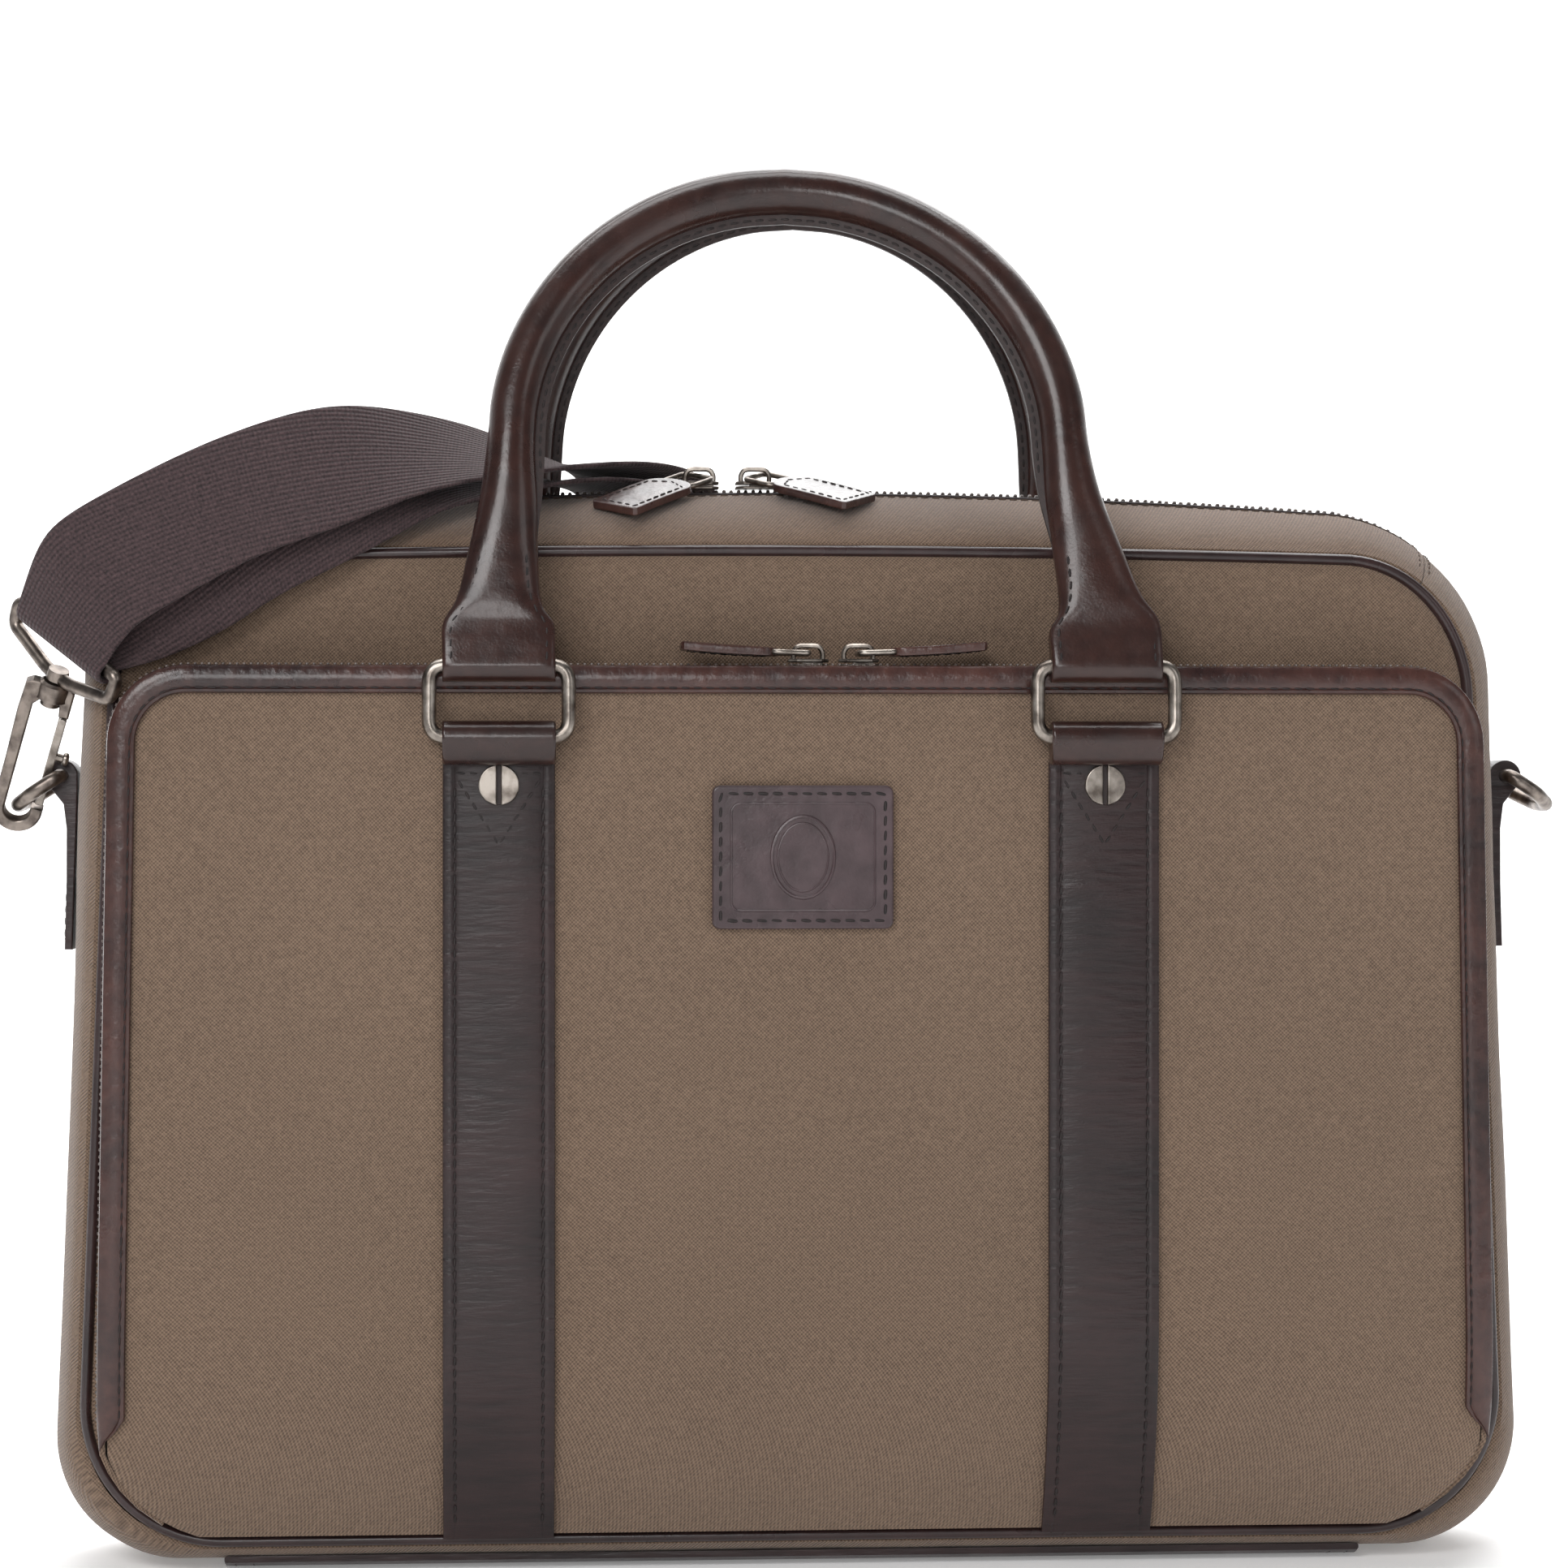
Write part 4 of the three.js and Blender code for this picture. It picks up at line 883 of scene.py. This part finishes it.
# --- leather strips, loops, screws, badge
STRIP_PROFILE = [
    (-15.3, 2.1), (-15.35, 1.2), (-15.2, 0.5), (-14.7, 0.1), (-13.2, 0.0), (-12.4, 0.1),
    (-12.05, 0.32), (-11.7, 0.1), (-10.8, -0.05), (-6, -0.28), (0, -0.38),
]


def strip_part(levels, front_at, x, flip):
    half = STRIP_PROFILE + [(-a, b) for a, b in STRIP_PROFILE[-2::-1]]
    sections = []
    for z in levels:
        wave = 0.16 * rough((x, 0, z), 14)
        ring = []
        for a, b in half:
            soft = wave * (1 - (a / 15.4) ** 2) if b < 0.2 else 0
            ring.append((x + a, front_at(z) + flip * (b + soft), z))
        sections.append(ring)
    return loft(sections)


def screw_parts(x, back):
    """A slotted screw head: two raised halves either side of the slot, on a dark disc that paints
    the shade in the slot.
    """
    y = POCKET.face - GAP - LEATHER
    place = (x, BACK_SHIFT - y if back else y, SCREW_Z)
    limit = acos(0.6 / 5.6)
    half = arc(-limit, limit, 26, 5.6)
    halves = [[(side * px, pz) for px, pz in half] for side in (1, -1)]
    disc = prism(arc(0, 2 * pi, 41, 5.5)[:-1], 1.0, 0.3)
    raised = [upright(prism(h, 2.1, 0.45, 3), place, back) for h in halves]
    # The disc is dark as painted shade, seen through the slot between the two halves.
    return {NICKEL_LOOK: raised, EDGE_AND_SLOT_SHADE_LOOK: [upright(disc, place, back)]}


def loop_part(x, back):
    """Leather folded round the ring's lower bar, with its two ends sewn under the strip's top."""
    y, low, foot = RING.lowY, RING.low, STRIP.top + GAP - 1.2
    profile = [(y + 4.6, foot), (y + 4.6, low), *arc(0, pi, 15, EYE_WALL, y, low)]
    profile += [(y - 4.5, low - 1.4), (y - 3.8, low - 3.2), (y - 2.8, foot + 2)]
    profile += [(y - 1.2, foot + 0.5), (y + 0.6, foot)]
    centre = np.mean(profile, 0)
    ends = [(14.6, 1), (15.1, 0.97), (15.4, 0.9)]
    sections = []
    for out, size in [(-a, b) for a, b in ends[::-1]] + [(-8, 1), (0, 1), (8, 1)] + ends:
        sections.append([(out, *(centre + (np.array(p) - centre) * size)) for p in profile])
    return placed(loft(sections), x, back)


def placed(part, x, back):
    """Hardware drawn at x 0 on the front, moved to x, or turned round to the back panel."""
    points, faces = part
    if back:
        points = (np.asarray(points, float) - (0, BACK_SHIFT, 0)) * (-1, -1, 1)
    return points + (x, 0, 0), faces


def strip(x, back):
    """A strip with a row of stitches by each edge and at its top, and a V on the front."""
    flip, inset, count = (-1, 3, 60) if back else (1, -1, 96)

    def face(z):
        return BACK_FACE + GAP + LEATHER if back else face_at(z) - GAP - LEATHER

    levels = np.linspace(STRIP.bottom + inset, STRIP.top, count)
    top, out = STRIP.top - 3.2, (0, -flip, 0)
    sewing = Beads()
    for edge in (-12.05, 12.05):
        sewing.run([(x + edge, face(z) + flip * 0.1, z) for z in levels[2:-3]], out)
    sewing.run([(x - 12, face(top), top), (x + 12, face(top), top)], out)
    if not back:
        for edge in (-11.4, 11.4):
            sewing.run([(x + edge, face(top), top - 1.5), (x, face(202) - 0.36, 202)], out)
    return {STRIP_LOOK: [strip_part(levels, face, x, flip)], THREAD_LOOK: [sewing.part()]}


def hardware():
    for word, side in SIDES:
        for back in (False, True):
            x, body = side * STRIP.x, "bag" if back else "pocket_flap"
            where, lead, slot = ("back", "back_", "slot_") if back else ("front", "", "")
            name, nodes = f"{lead}strip_leather_{word}", [f"{where}_strip_{word}"]
            if back:
                make(name, body, strip(x, back), nodes)
            else:
                nodes.append(f"front_strip_lower_{word}")
                across_fold(make(name, None, strip(x, back), nodes))
            loop = {HANDLE_LOOK: [loop_part(x, back)]}
            make(f"{lead}ring_loop_{word}", body, loop, [f"{where}_loop_{word}"])
            name, nodes = f"{lead}{slot}screw_{word}", [f"{where}_screw_{word}"]
            make(name, body, screw_parts(x, back), nodes, angle=30)
    badge()


def badge():
    """A plain leather patch with a sewn edge, a pressed border and a pressed oval."""
    face, middle = POCKET.face - GAP, BADGE.z
    outline = round_rect(BADGE.width, BADGE.height, BADGE.corner)
    y = face - BADGE.thick
    leather = [upright(prism(outline, BADGE.thick, 0.7, 3), (0, face, middle))]
    border = [(x, y + 0.02, middle + z) for x, z in round_rect(39.5, 29.5, 2.5)]
    leather.append(tube(border, 0.34, True, 8))
    for wide, high, thick in ((8.6, 11.2, 0.55), (6.9, 9.4, 0.3)):
        turns = arc(0, 2 * pi, 49)[:-1]
        path = [(wide * a, y + 0.05, middle + high * b) for a, b in turns]
        leather.append(tube(path, thick, True, 8))
    sewing = Beads()
    path = [(x, y - 0.02, middle + z) for x, z in round_rect(45.4, 34.9, 1.4)]
    sewing.run(path, (0, -1, 0), 4.1, 3.1, 0.5, 0.1, True)
    parts = {BADGE_WITH_SHEEN_LOOK: leather, THREAD_LOOK: [sewing.part()]}
    make("leather_patch", "pocket_flap", parts, ["badge"])


# --- rings and handles
def ring_part(x, back):
    half = RING.width / 2
    low, high = (RING.lowY, RING.low), (RING.highY, RING.high)
    corners = [(-half, *low), (half, *low), (half, *high), (-half, *high)]
    return placed(tube(rounded(corners, RING.corner), RING.wire, True, 16), x, back)


def handle_spine(arch):
    """Rows of x, y, z, half width, half thickness and squareness, from one ring to the other."""
    top = RING.high
    rows = []
    for a in (78, 60, 40, 20, 0):
        turn = radians(a)
        rows.append((top - EYE_WALL * sin(turn), 15.4, EYE_WALL * cos(turn), 9))
    rows += [(top + 4, 15.4, 4.1, 9), (top + 11, 15.2, 3.2, 6), (top + 17, 11.9, 4.2, 3)]
    rows += [(top + 31, 9.6, 5.2, 2.2), (top + 46, 8, 6.3, 2)]
    spine = []
    for z, *size in rows:
        x = lerp(STRIP.x, HANDLE.legX, step(z, top + 6, HANDLE.legTop))
        spine.append((x, z, *size))
    for x, z in arc(0, pi / 2, 10):
        z = lerp(HANDLE.legTop, arch.apex, z)
        spine.append((HANDLE.legX * x, z, HANDLE.tube, HANDLE.tube, 2))
    fine = curve(spine, 4)
    out = []
    for x, z, *size in np.vstack([fine, (fine[:-1] * (-1, 1, 1, 1, 1))[::-1]]):
        rise = max(0, z - top) / (arch.apex - top)
        y = RING.highY + arch.lean * min(1, rise) ** arch.bow
        skew = HANDLE.skew * step(z, top, HANDLE.legTop)
        out.append((x + skew, y, z, *size))
    return np.array(out)


def handle_frames(spine):
    made = []
    for i, row in enumerate(spine):
        along = spine[min(i + 1, len(spine) - 1), :3] - spine[max(i - 1, 0), :3]
        if row[2] < RING.high + 5:
            along = v3(0, 0, copysign(1, along[2]))
        along = unit(along)
        through = square_to(v3(0, 1, 0), along)
        made.append((through, np.cross(along, through)))
    return made


def handle_skin(spine):
    """The rolled leather, the edge sewn along the inside of its arch, and that seam's path."""
    count, high = 30, RING.high
    sections, flange, seam = [], [], []
    for row, (through, across) in zip(spine, handle_frames(spine)):
        centre, wide, thick, power = row[:3], row[3], row[4], 2 / max(2, row[5])
        section = []
        for j in range(count):
            a = 2 * pi * (j + 0.5) / count
            c, s = (copysign(abs(t) ** power, t) for t in (cos(a), sin(a)))
            section.append(centre + across * wide * c + through * thick * s)
        sections.append(section)
        if row[2] <= high + 30:
            continue
        grow = step(row[2], high + 30, high + 62)
        inward = across if np.dot(across, v3(-row[0], 0, 250 - row[2])) > 0 else -across
        root = centre + inward * (wide - 0.6)
        tip = centre + inward * (wide - 0.4 + 3 * grow)
        ways = ((root, 1.3), (tip, 1.0), (tip, -1.0), (root, -1.3))
        flange.append([p + through * t for p, t in ways])
        if grow > 0.7:
            seam.append(np.concatenate([centre + inward * (wide + 1.2), through]))
    return loft(sections), loft(flange), seam


def handle(word, arch, back):
    spine = handle_spine(arch)
    skin, flange, seam = handle_skin(spine)
    sewing = Beads()
    for row, w in zip(*even(seam, 3.6)):
        through, w = unit(row[3:]), unit(w[:3])
        for side in (-1, 1):
            centre = row[:3] + side * 1.12 * through
            sewing.add(centre, np.cross(w, through) * 0.36, through * 0.3, w * 1.3)
    top = RING.high
    for side in (-1, 1):
        rows = [r for r in spine if r[0] * side > 60 and top + 0.5 < r[2] < top + 33]
        rows.sort(key=lambda r: r[2])
        for face in (-1, 1):
            for edge in (-1, 1):
                path = []
                for x, y, z, wide, thick, square in rows:
                    out = wide - lerp(2.4, 3.4, step(z, top + 12, top + 24))
                    share = (1 - min(0.999, out / wide) ** square) ** (1 / square)
                    path.append((x + edge * out, y + face * thick * share, z))
                sewing.run(path, (edge * 0.25, face, 0.1), 3.5, 2.5, 0.36, 0.05)
    looks = {HANDLE_LOOK: skin, EDGE_AND_SLOT_SHADE_LOOK: flange, THREAD_LOOK: sewing.part()}
    parts = {look: [placed(part, 0, back)] for look, part in looks.items()}
    make(f"{word}_handle_leather", f"{word}_handle", parts, [f"{word}_handle"], angle=60)


def handles():
    for word, side in SIDES:
        for back, where, lead in ((False, "front", ""), (True, "back", "back_")):
            ring = {NICKEL_LOOK: [ring_part(side * STRIP.x, back)]}
            make(f"handle_{lead}ring_{word}", f"{where}_rings", ring, [f"{where}_ring_{word}"])
    handle("front", FRONT_ARCH, False)
    handle("back", BACK_ARCH, True)


# --- zip sliders and pulls
BRIDGE = 3.8
# Which slider, its x, the way its pull points.
MAIN_SLIDERS = (("left", -26, (-19, -18, -7.6)), ("right", -10, (22, -16, -6)))
POCKET_SLIDERS = (("left", 2, (-1, 0, 0.03)), ("right", 16, (1, 0, 0.03)))


def slider_parts(origin):
    """Two wings, a nose, and an arched bridge over them."""
    wing = [(-5.6, -2.6), (-3.4, -4.1), (3.6, -3.5), (5.6, -1.6)]
    wing += [(x, -y) for x, y in wing[::-1]]
    low, high = prism(wing, 0.8, 0.25), moved(prism(wing, 0.9, 0.3), (0, 0, 1.3))
    post = slab(-1.6, 4.2, -0.6, 0.6, 0.3, 1.8, 0.2)
    way = [(-4, 0, 1.7), (-4, 0, 4), (-3, 0, 5.5), (0, 0, 5.8)]
    arch = tube(curve(way + [(-x, y, z) for x, y, z in way[-2::-1]], 4), 0.75, False, 8)
    return {NICKEL_LOOK: [moved(part, origin) for part in (low, high, post, arch)]}


def pull(node, origin, x_way, z_way, width, length, droop):
    """A metal link under the bridge and a sewn leather tab on it."""
    axes = basis(x_way, z_way)
    link = rounded([(0, -5.5, 0), (10, -5.5, 0), (10, 5.5, 0), (0, 5.5, 0)], 2.2)
    half, start = width / 2, 8.4
    end = start + length
    outline = [(start + half * 0.75 * (1 - s), half * c) for c, s in arc(0, pi / 2, 9)]
    outline += [(x, -y) for x, y in outline[-2::-1]]
    edge = [(start + t * length, -half) for t in (0.45, 0.7, 0.97)] + [(end, -half + 0.9)]
    outline += edge + [(x, -y) for x, y in edge[::-1]]
    tab = moved(prism(outline, 2.4, 0.55), (0, 0, -1.2))
    sewing = Beads()
    row = [(start + 4 + k, half - 2) for k in np.linspace(2, length - 6, 5)]
    path = [(x, -y) for x, y in row[::-1]] + [(start + 3.2, 0)] + row + [(end - 2, 0)]
    for level in (1.18, -1.18):
        sewing.run([(*p, level) for p in path], (0, 0, level), 2.9, 2.1, 0.3, 0.05, True)

    def bent(part):
        points = np.array(part[0], float)
        far = np.maximum(0, points[:, 0] - start - 3)
        points[:, 2] -= droop * (far / length) ** 2
        return [moved((points, part[1]), origin, *axes)]

    ring = [moved(tube(link, 0.8, True, 10), origin, *axes)]
    parts = {TRIM_LOOK: bent(tab), NICKEL_LOOK: ring, THREAD_LOOK: bent(sewing.part())}
    make(f"{node}_piece", node, parts, [node])


def zips():
    for word, x, to in MAIN_SLIDERS:
        node = f"main_slider_{word}"
        make(f"zip_slider_{word}", node, slider_parts((x, 0, RIDGE)), [node], angle=30)
        bridge = (x, 0, RIDGE + BRIDGE)
        pull(f"main_pull_{word}", bridge, to, (0, -0.26, 1), 17, 28, 0.9)
    top, y = POCKET.top + GAP, POCKET.face + 6.6
    for word, x, to in POCKET_SLIDERS:
        node = f"pocket_slider_{word}"
        make(f"small_slider_{word}", node, slider_parts((x, y, top)), [node], angle=30)
        pull(f"pocket_pull_{word}", (x, y, top + BRIDGE), to, (0, 0, 1), 12, 27, -1.2)


# --- side tabs, D-rings, hooks
def wall_at(z, out=0.0):
    """How far the bag's side stands from its middle at a height."""
    return lerp(BULGE.low, BULGE.high, (z - 36) / (247 - 36)) + 0.4 + out


def tab_parts(side):
    """A leather tab that folds round the D-ring's bar and is sewn to the bag's side."""
    steps = ((172, 0), (172, 2.2), (190, 2.3), (206, 2.8), (213, 3.9))
    outline = [(wall_at(z, out), z) for z, out in steps]
    outline += arc(-0.5, 3.0, 18, EYE_WALL, D_RING.x, D_RING.z) + [(wall_at(212), 212)]
    points, faces = prism(outline, 17, 0.5)
    points = np.stack([points[:, 0] * side, points[:, 2] - 8.5, points[:, 1]], 1)
    rows = [[(y, z, 2.25) for z in np.linspace(175, 205, 12)] for y in (-6.4, 6.4)]
    rows += [[(y, z, out) for y in (-6.4, 6.4)] for z, out in ((175, 2.3), (205, 2.75))]
    sewing = Beads()
    for row in rows:
        path = [(side * wall_at(z, out), y, z) for y, z, out in row]
        sewing.run(path, (side, 0, 0), 3.4, 2.5, 0.36, 0)
    return {STRIP_LOOK: [(points, faces)], THREAD_LOOK: [sewing.part()]}


def d_ring(side):
    fall = radians(D_RING.droop)
    wide, half, depth = D_RING.half + 2, D_RING.half * 0.5, D_RING.depth
    corners = [(-wide, 0), (wide, 0), (wide, depth * 0.6), (half, depth), (-half, depth)]
    path = []
    for y, s in corners + [(-wide, depth * 0.6)]:
        x, z = D_RING.x + s * cos(fall), D_RING.z - s * sin(fall)
        path.append((side * x, y, z))
    return {GUNMETAL_LOOK: [tube(rounded(path, 3), D_RING.wire, True, 14)]}


def side_tabs():
    for word, side in SIDES:
        make(f"d_ring_tab_{word}", "bag", tab_parts(side), [f"side_tab_{word}"])
        make(f"side_d_ring_{word}", f"d_ring_{word}", d_ring(side), [f"d_ring_{word}"])


def hook_outline():
    """The hook in its own plane: round the bend, up the spine, across the top and back down."""
    offset, inner, outer, bend = 0.9, 3.6, 7, 54
    right = offset + inner
    outline = arc(pi, 2 * pi, 19, outer, offset, -bend)
    outline += [(offset + outer, -40), (offset + outer + 0.4, -24), (offset + outer, -15)]
    outline += [(right + 1.6, -13.8), (-4.8, -13.8), (-6, -15), (-6, -23), (-3.2, -23)]
    outline += [(-2.6, -19.5), (right - 1.8, -18.8), (right, -21), (right, -40)]
    outline += arc(2 * pi, pi, 15, inner, offset, -bend)
    return outline + [(offset - inner, -bend + 1.6), (offset - outer, -bend + 1.6)]


def snap_hook(word, centre, bar, down, side_way):
    def put(axes, *parts):
        return [moved(part, centre, *axes) for part in parts]

    axes = basis(bar, -down)
    right = [(22.5, 0, 0), (22, 0, -7), (5, 0, -11.6)]
    corners = [(-22.5, 0, 0)] + right + [(-x, y, z) for x, y, z in right[:0:-1]]
    loop = tube(rounded(corners, 2.4), 1.9, True, 14)
    post = [(2.9, -9.6), (3.1, -11), (3.0, -12.6), (1.6, -13.2), (1.5, -19), (2.8, -19.3)]
    eye = {GUNMETAL_LOOK: put(axes, loop, lathe(post + [(2.8, -20.6), (2.2, -21)]))}
    make(f"swivel_eye_{word}", "bag", eye, [f"{word}_hook_eye"])

    axes = basis(side_way, -down)
    flat = prism(hook_outline(), 4.4, 0.7, 3)
    bent_bar = moved(flat, (0, 2.2, 0), (1, 0, 0), (0, 0, 1), (0, -1, 0))
    barrel = [(3.6, -13.2), (4.5, -13.9), (4.6, -15.5), (4.4, -17.4), (4.6, -18.4), (3.6, -19)]
    hook = {GUNMETAL_LOOK: put(axes, bent_bar, lathe(barrel))}
    make(f"snap_hook_{word}", f"{word}_hook", hook, [f"{word}_hook"], angle=30)

    leaf = slab(-5.8, -3.45, -1.1, 1.1, -51.6, -23.4, 0.4)
    stem = tube([(-5.4, 0, -36), (-6.6, 0, -36), (-7.8, 0, -36)], 1.2, False, 14)
    knob = lathe([(1.4, 0), (1.8, 0.3), (1.95, 0.9), (1.7, 1.5), (0.9, 1.8)])
    knob = moved(knob, (-7.5, 0, -36), (0, 1, 0), (0, 0, 1), (-1, 0, 0))
    pin = tube([(-4.6, -2.7, -23.9), (-4.6, 2.7, -23.9)], 0.9, False, 10)
    gate = {NICKEL_LOOK: put(axes, leaf, stem, knob, pin)}
    make(f"hook_gate_{word}", f"{word}_gate", gate, [f"{word}_hook_gate"], "gunmetal", 30)


def adjuster():
    """The three-bar adjuster, tilted with the webbing on the bag's back."""
    bars = [slab(-23, -20, -2.4, 4.4, -12, 12, 0.9), slab(20, 23, -2.4, 4.4, -12, 12, 0.9)]
    bars += [slab(-22.5, 22.5, 2.2, 4.4, 9, 12, 0.9), slab(-22.5, 22.5, 2.2, 4.4, -12, -9, 0.9)]
    bars += [slab(-22, 22, -2.2, -0.4, -1.5, 1.5, 0.7)]
    place, tilt = (-8.6, 38.5, 224), radians(-12)
    x, z = (cos(tilt), 0, -sin(tilt)), (sin(tilt), 0, cos(tilt))
    parts = {GUNMETAL_LOOK: [moved(bar, place, x, (0, 1, 0), z) for bar in bars]}
    make("three_bar_adjuster", "bag", parts, ["strap_adjuster"], angle=30)


# --- shoulder webbing
LEFT_DOWN = unit((-0.283, 0.417, -0.863))
LEFT_BAR = square_to(v3(-0.641, 0.566, 0.519), LEFT_DOWN)
LEFT_SIDE = square_to(v3(-1, 0, 0), LEFT_DOWN)
LEFT_EYE, RIGHT_EYE = v3(-202.5, -29.6, 258.8), v3(141, 54.5, 5.4)
# Stations of both edges, as in the CAD: the first edge is the front or lower one.
INNER_LAYER = [
    (9, 35, 229, -28, 35, 219), (3, 35, 252, -33, 35, 240), (-10, 37, 283, -42, 40, 262),
    (-24, 32, 303.5, -48, 44, 276.5), (-38, 6, 305.5, -55, 39, 294),
    (-55, -9, 305.5, -60, 28, 304), (-72, -19, 302.5, -70, 18.5, 306.5),
    (-86, -24, 299, -84, 12.5, 309.5), (-98, -28.5, 295.5, -98, 3, 317),
    (-110.6, -34, 288.5, -113, -12, 319), (-124, -37.5, 281, -131, -22.5, 315.5),
    (-143, -38.5, 271.5, -155, -28.5, 306), (-160, -38.5, 260.5, -181, -32, 291),
    (-176, -37.5, 253, -201, -29.5, 280),
]
OUTER_LAYER = [
    (-184, -44, 262, -209, -34, 289), (-168.5, -44.5, 271, -189, -36, 300.5),
    (-149.5, -43.5, 281.5, -160, -31.5, 315), (-124, -40.5, 291, -130, -24, 324.5),
    (-108.5, -35.5, 298, -108, -8, 324), (-90, -28.5, 303.5, -88, 6, 320),
    (-74.3, -20, 306.3, -71.5, 17.5, 313.5), (-55, -9, 309.5, -61, 29, 309.5),
    (-36.5, 8, 311, -56, 41.5, 301), (-21, 34, 307.5, -47, 47.5, 282),
    (-7, 41, 285, -39, 44.5, 261), (5.5, 39.6, 252, -31, 39.6, 239.5),
    (12.5, 39.4, 216, -25, 39.4, 209), (16, 38.5, 180, -22, 38.5, 177),
    (15, 35.5, 143, -19, 52, 142), (10, 35, 108, -14, 64, 108), (1.5, 35, 74, -5.5, 72.5, 74),
    (-2, 35.5, 45, -2, 73.5, 45),
]
FLOOR = Sizes(near=35.5, far=73.5, rise=7.2, low=1.4, start=18, back=32, end=104)


def wrap(centre, bar, down):
    """The webbing's turn round a hook's eye."""
    normal = unit(np.cross(-down, bar))
    radius = 1.9 + GAP + WEB_THICK / 2 + 0.3
    turn, half, rows = radians(95), bar * WEB_WIDTH / 2, []
    for ahead, aside in arc(-turn, turn, 13, radius):
        middle = centre + normal * aside + down * ahead
        rows.append(np.concatenate([middle - half, middle + half]))
    return rows


def fold_rows():
    """Down to the floor behind the bag, then folded into three layers there."""
    low, rise = FLOOR.low, FLOOR.rise
    bend = FLOOR.start + 2
    path = [(bend - 2 - bend * c, low + bend - bend * s) for c, s in arc(0, pi / 2, 9)]

    def turn(x, z, way):
        flat = arc(-pi / 2, pi / 2, 13, rise / 2)
        return [(x + way * c, z + rise / 2 + s) for c, s in flat]

    path += [(40, low), (60, low), (82, low), *turn(FLOOR.end, low, 1), (68, low + rise)]
    path += turn(FLOOR.back, low + rise, -1)
    path += [(72, low + 2 * rise), (112, low + 2 * rise), (127, low + rise + 1.5)]
    return [v3(x, FLOOR.near, z, x, FLOOR.far, z) for x, z in path]


def middles(rows):
    return (rows[:, :3] + rows[:, 3:]) / 2


def eased(route):
    """Rows an even distance apart, with sharp turns rounded off except in the tight wraps."""
    way = travelled(middles(route))
    at = [0.0]
    for a, b in zip(way[:-1], way[1:]):
        at += [lerp(a, b, t) for t in shares(max(1, int(round((b - a) / 2))))]
    rows = np.stack([np.interp(at, way, column) for column in route.T], 1)
    loose = np.ones(len(rows))
    for i, centre in enumerate(middles(rows)):
        for eye in (LEFT_EYE, RIGHT_EYE):
            loose[i] *= step(norm(centre - eye), 4, 12)
        loose[i] *= step(centre[2], 18, 30)
    for _ in range(14):
        change = ((np.roll(rows, 1, 0) + np.roll(rows, -1, 0)) / 2 - rows) * 0.6
        change *= loose[:, None]
        change[[0, -1]] = 0
        rows = rows + change
    return rows


def shoulder_webbing():
    end = v3(116, FLOOR.near, 2, 116, FLOOR.far, 2)
    left = wrap(LEFT_EYE, LEFT_BAR, LEFT_DOWN)
    right = wrap(RIGHT_EYE, v3(0, 1, 0), v3(1, 0, 0))
    layers = curve(INNER_LAYER, 5), left, curve(OUTER_LAYER, 5), fold_rows(), right, [end]
    route = eased(np.vstack(layers))
    centres = middles(route)
    way = travelled(centres)
    spots = [0, 0.015, 0.05, 0.2, 0.35, 0.5, 0.65, 0.8, 0.95, 0.985, 1]
    puffs = [0.35, 0.85, 1, 1, 1, 1, 1, 1, 1, 0.85, 0.35]
    sections = []
    for i, row in enumerate(route):
        near, far = row[:3], row[3:]
        along = centres[min(i + 1, len(route) - 1)] - centres[max(i - 1, 0)]
        normal = unit(np.cross(along, unit(far - near))) * WEB_THICK / 2
        line = [(lerp(near, far, s), normal * t) for s, t in zip(spots, puffs)]
        sections.append([p - n for p, n in line] + [p + n for p, n in line[::-1]])
    parts = {WEBBING_LOOK: [loft(sections)]}
    obj = make("strap_webbing", "bag", parts, ["shoulder_webbing"], angle=60)
    chart = obj.data.uv_layers.new(name="cloth")
    both = spots + spots[::-1]
    for loop in obj.data.loops:
        i, j = divmod(loop.vertex_index, len(both))
        chart.data[loop.index].uv = (way[i], both[j] * WEB_WIDTH)


# --- all of it
camera()
studio()
shoulder_webbing()
main_body()
base()
pocket()
hardware()
handles()
zips()
side_tabs()
snap_hook("left", LEFT_EYE, LEFT_BAR, LEFT_DOWN, LEFT_SIDE)
snap_hook("right", RIGHT_EYE, v3(0, 1, 0), v3(1, 0, 0), v3(0, 1, 0))
adjuster()
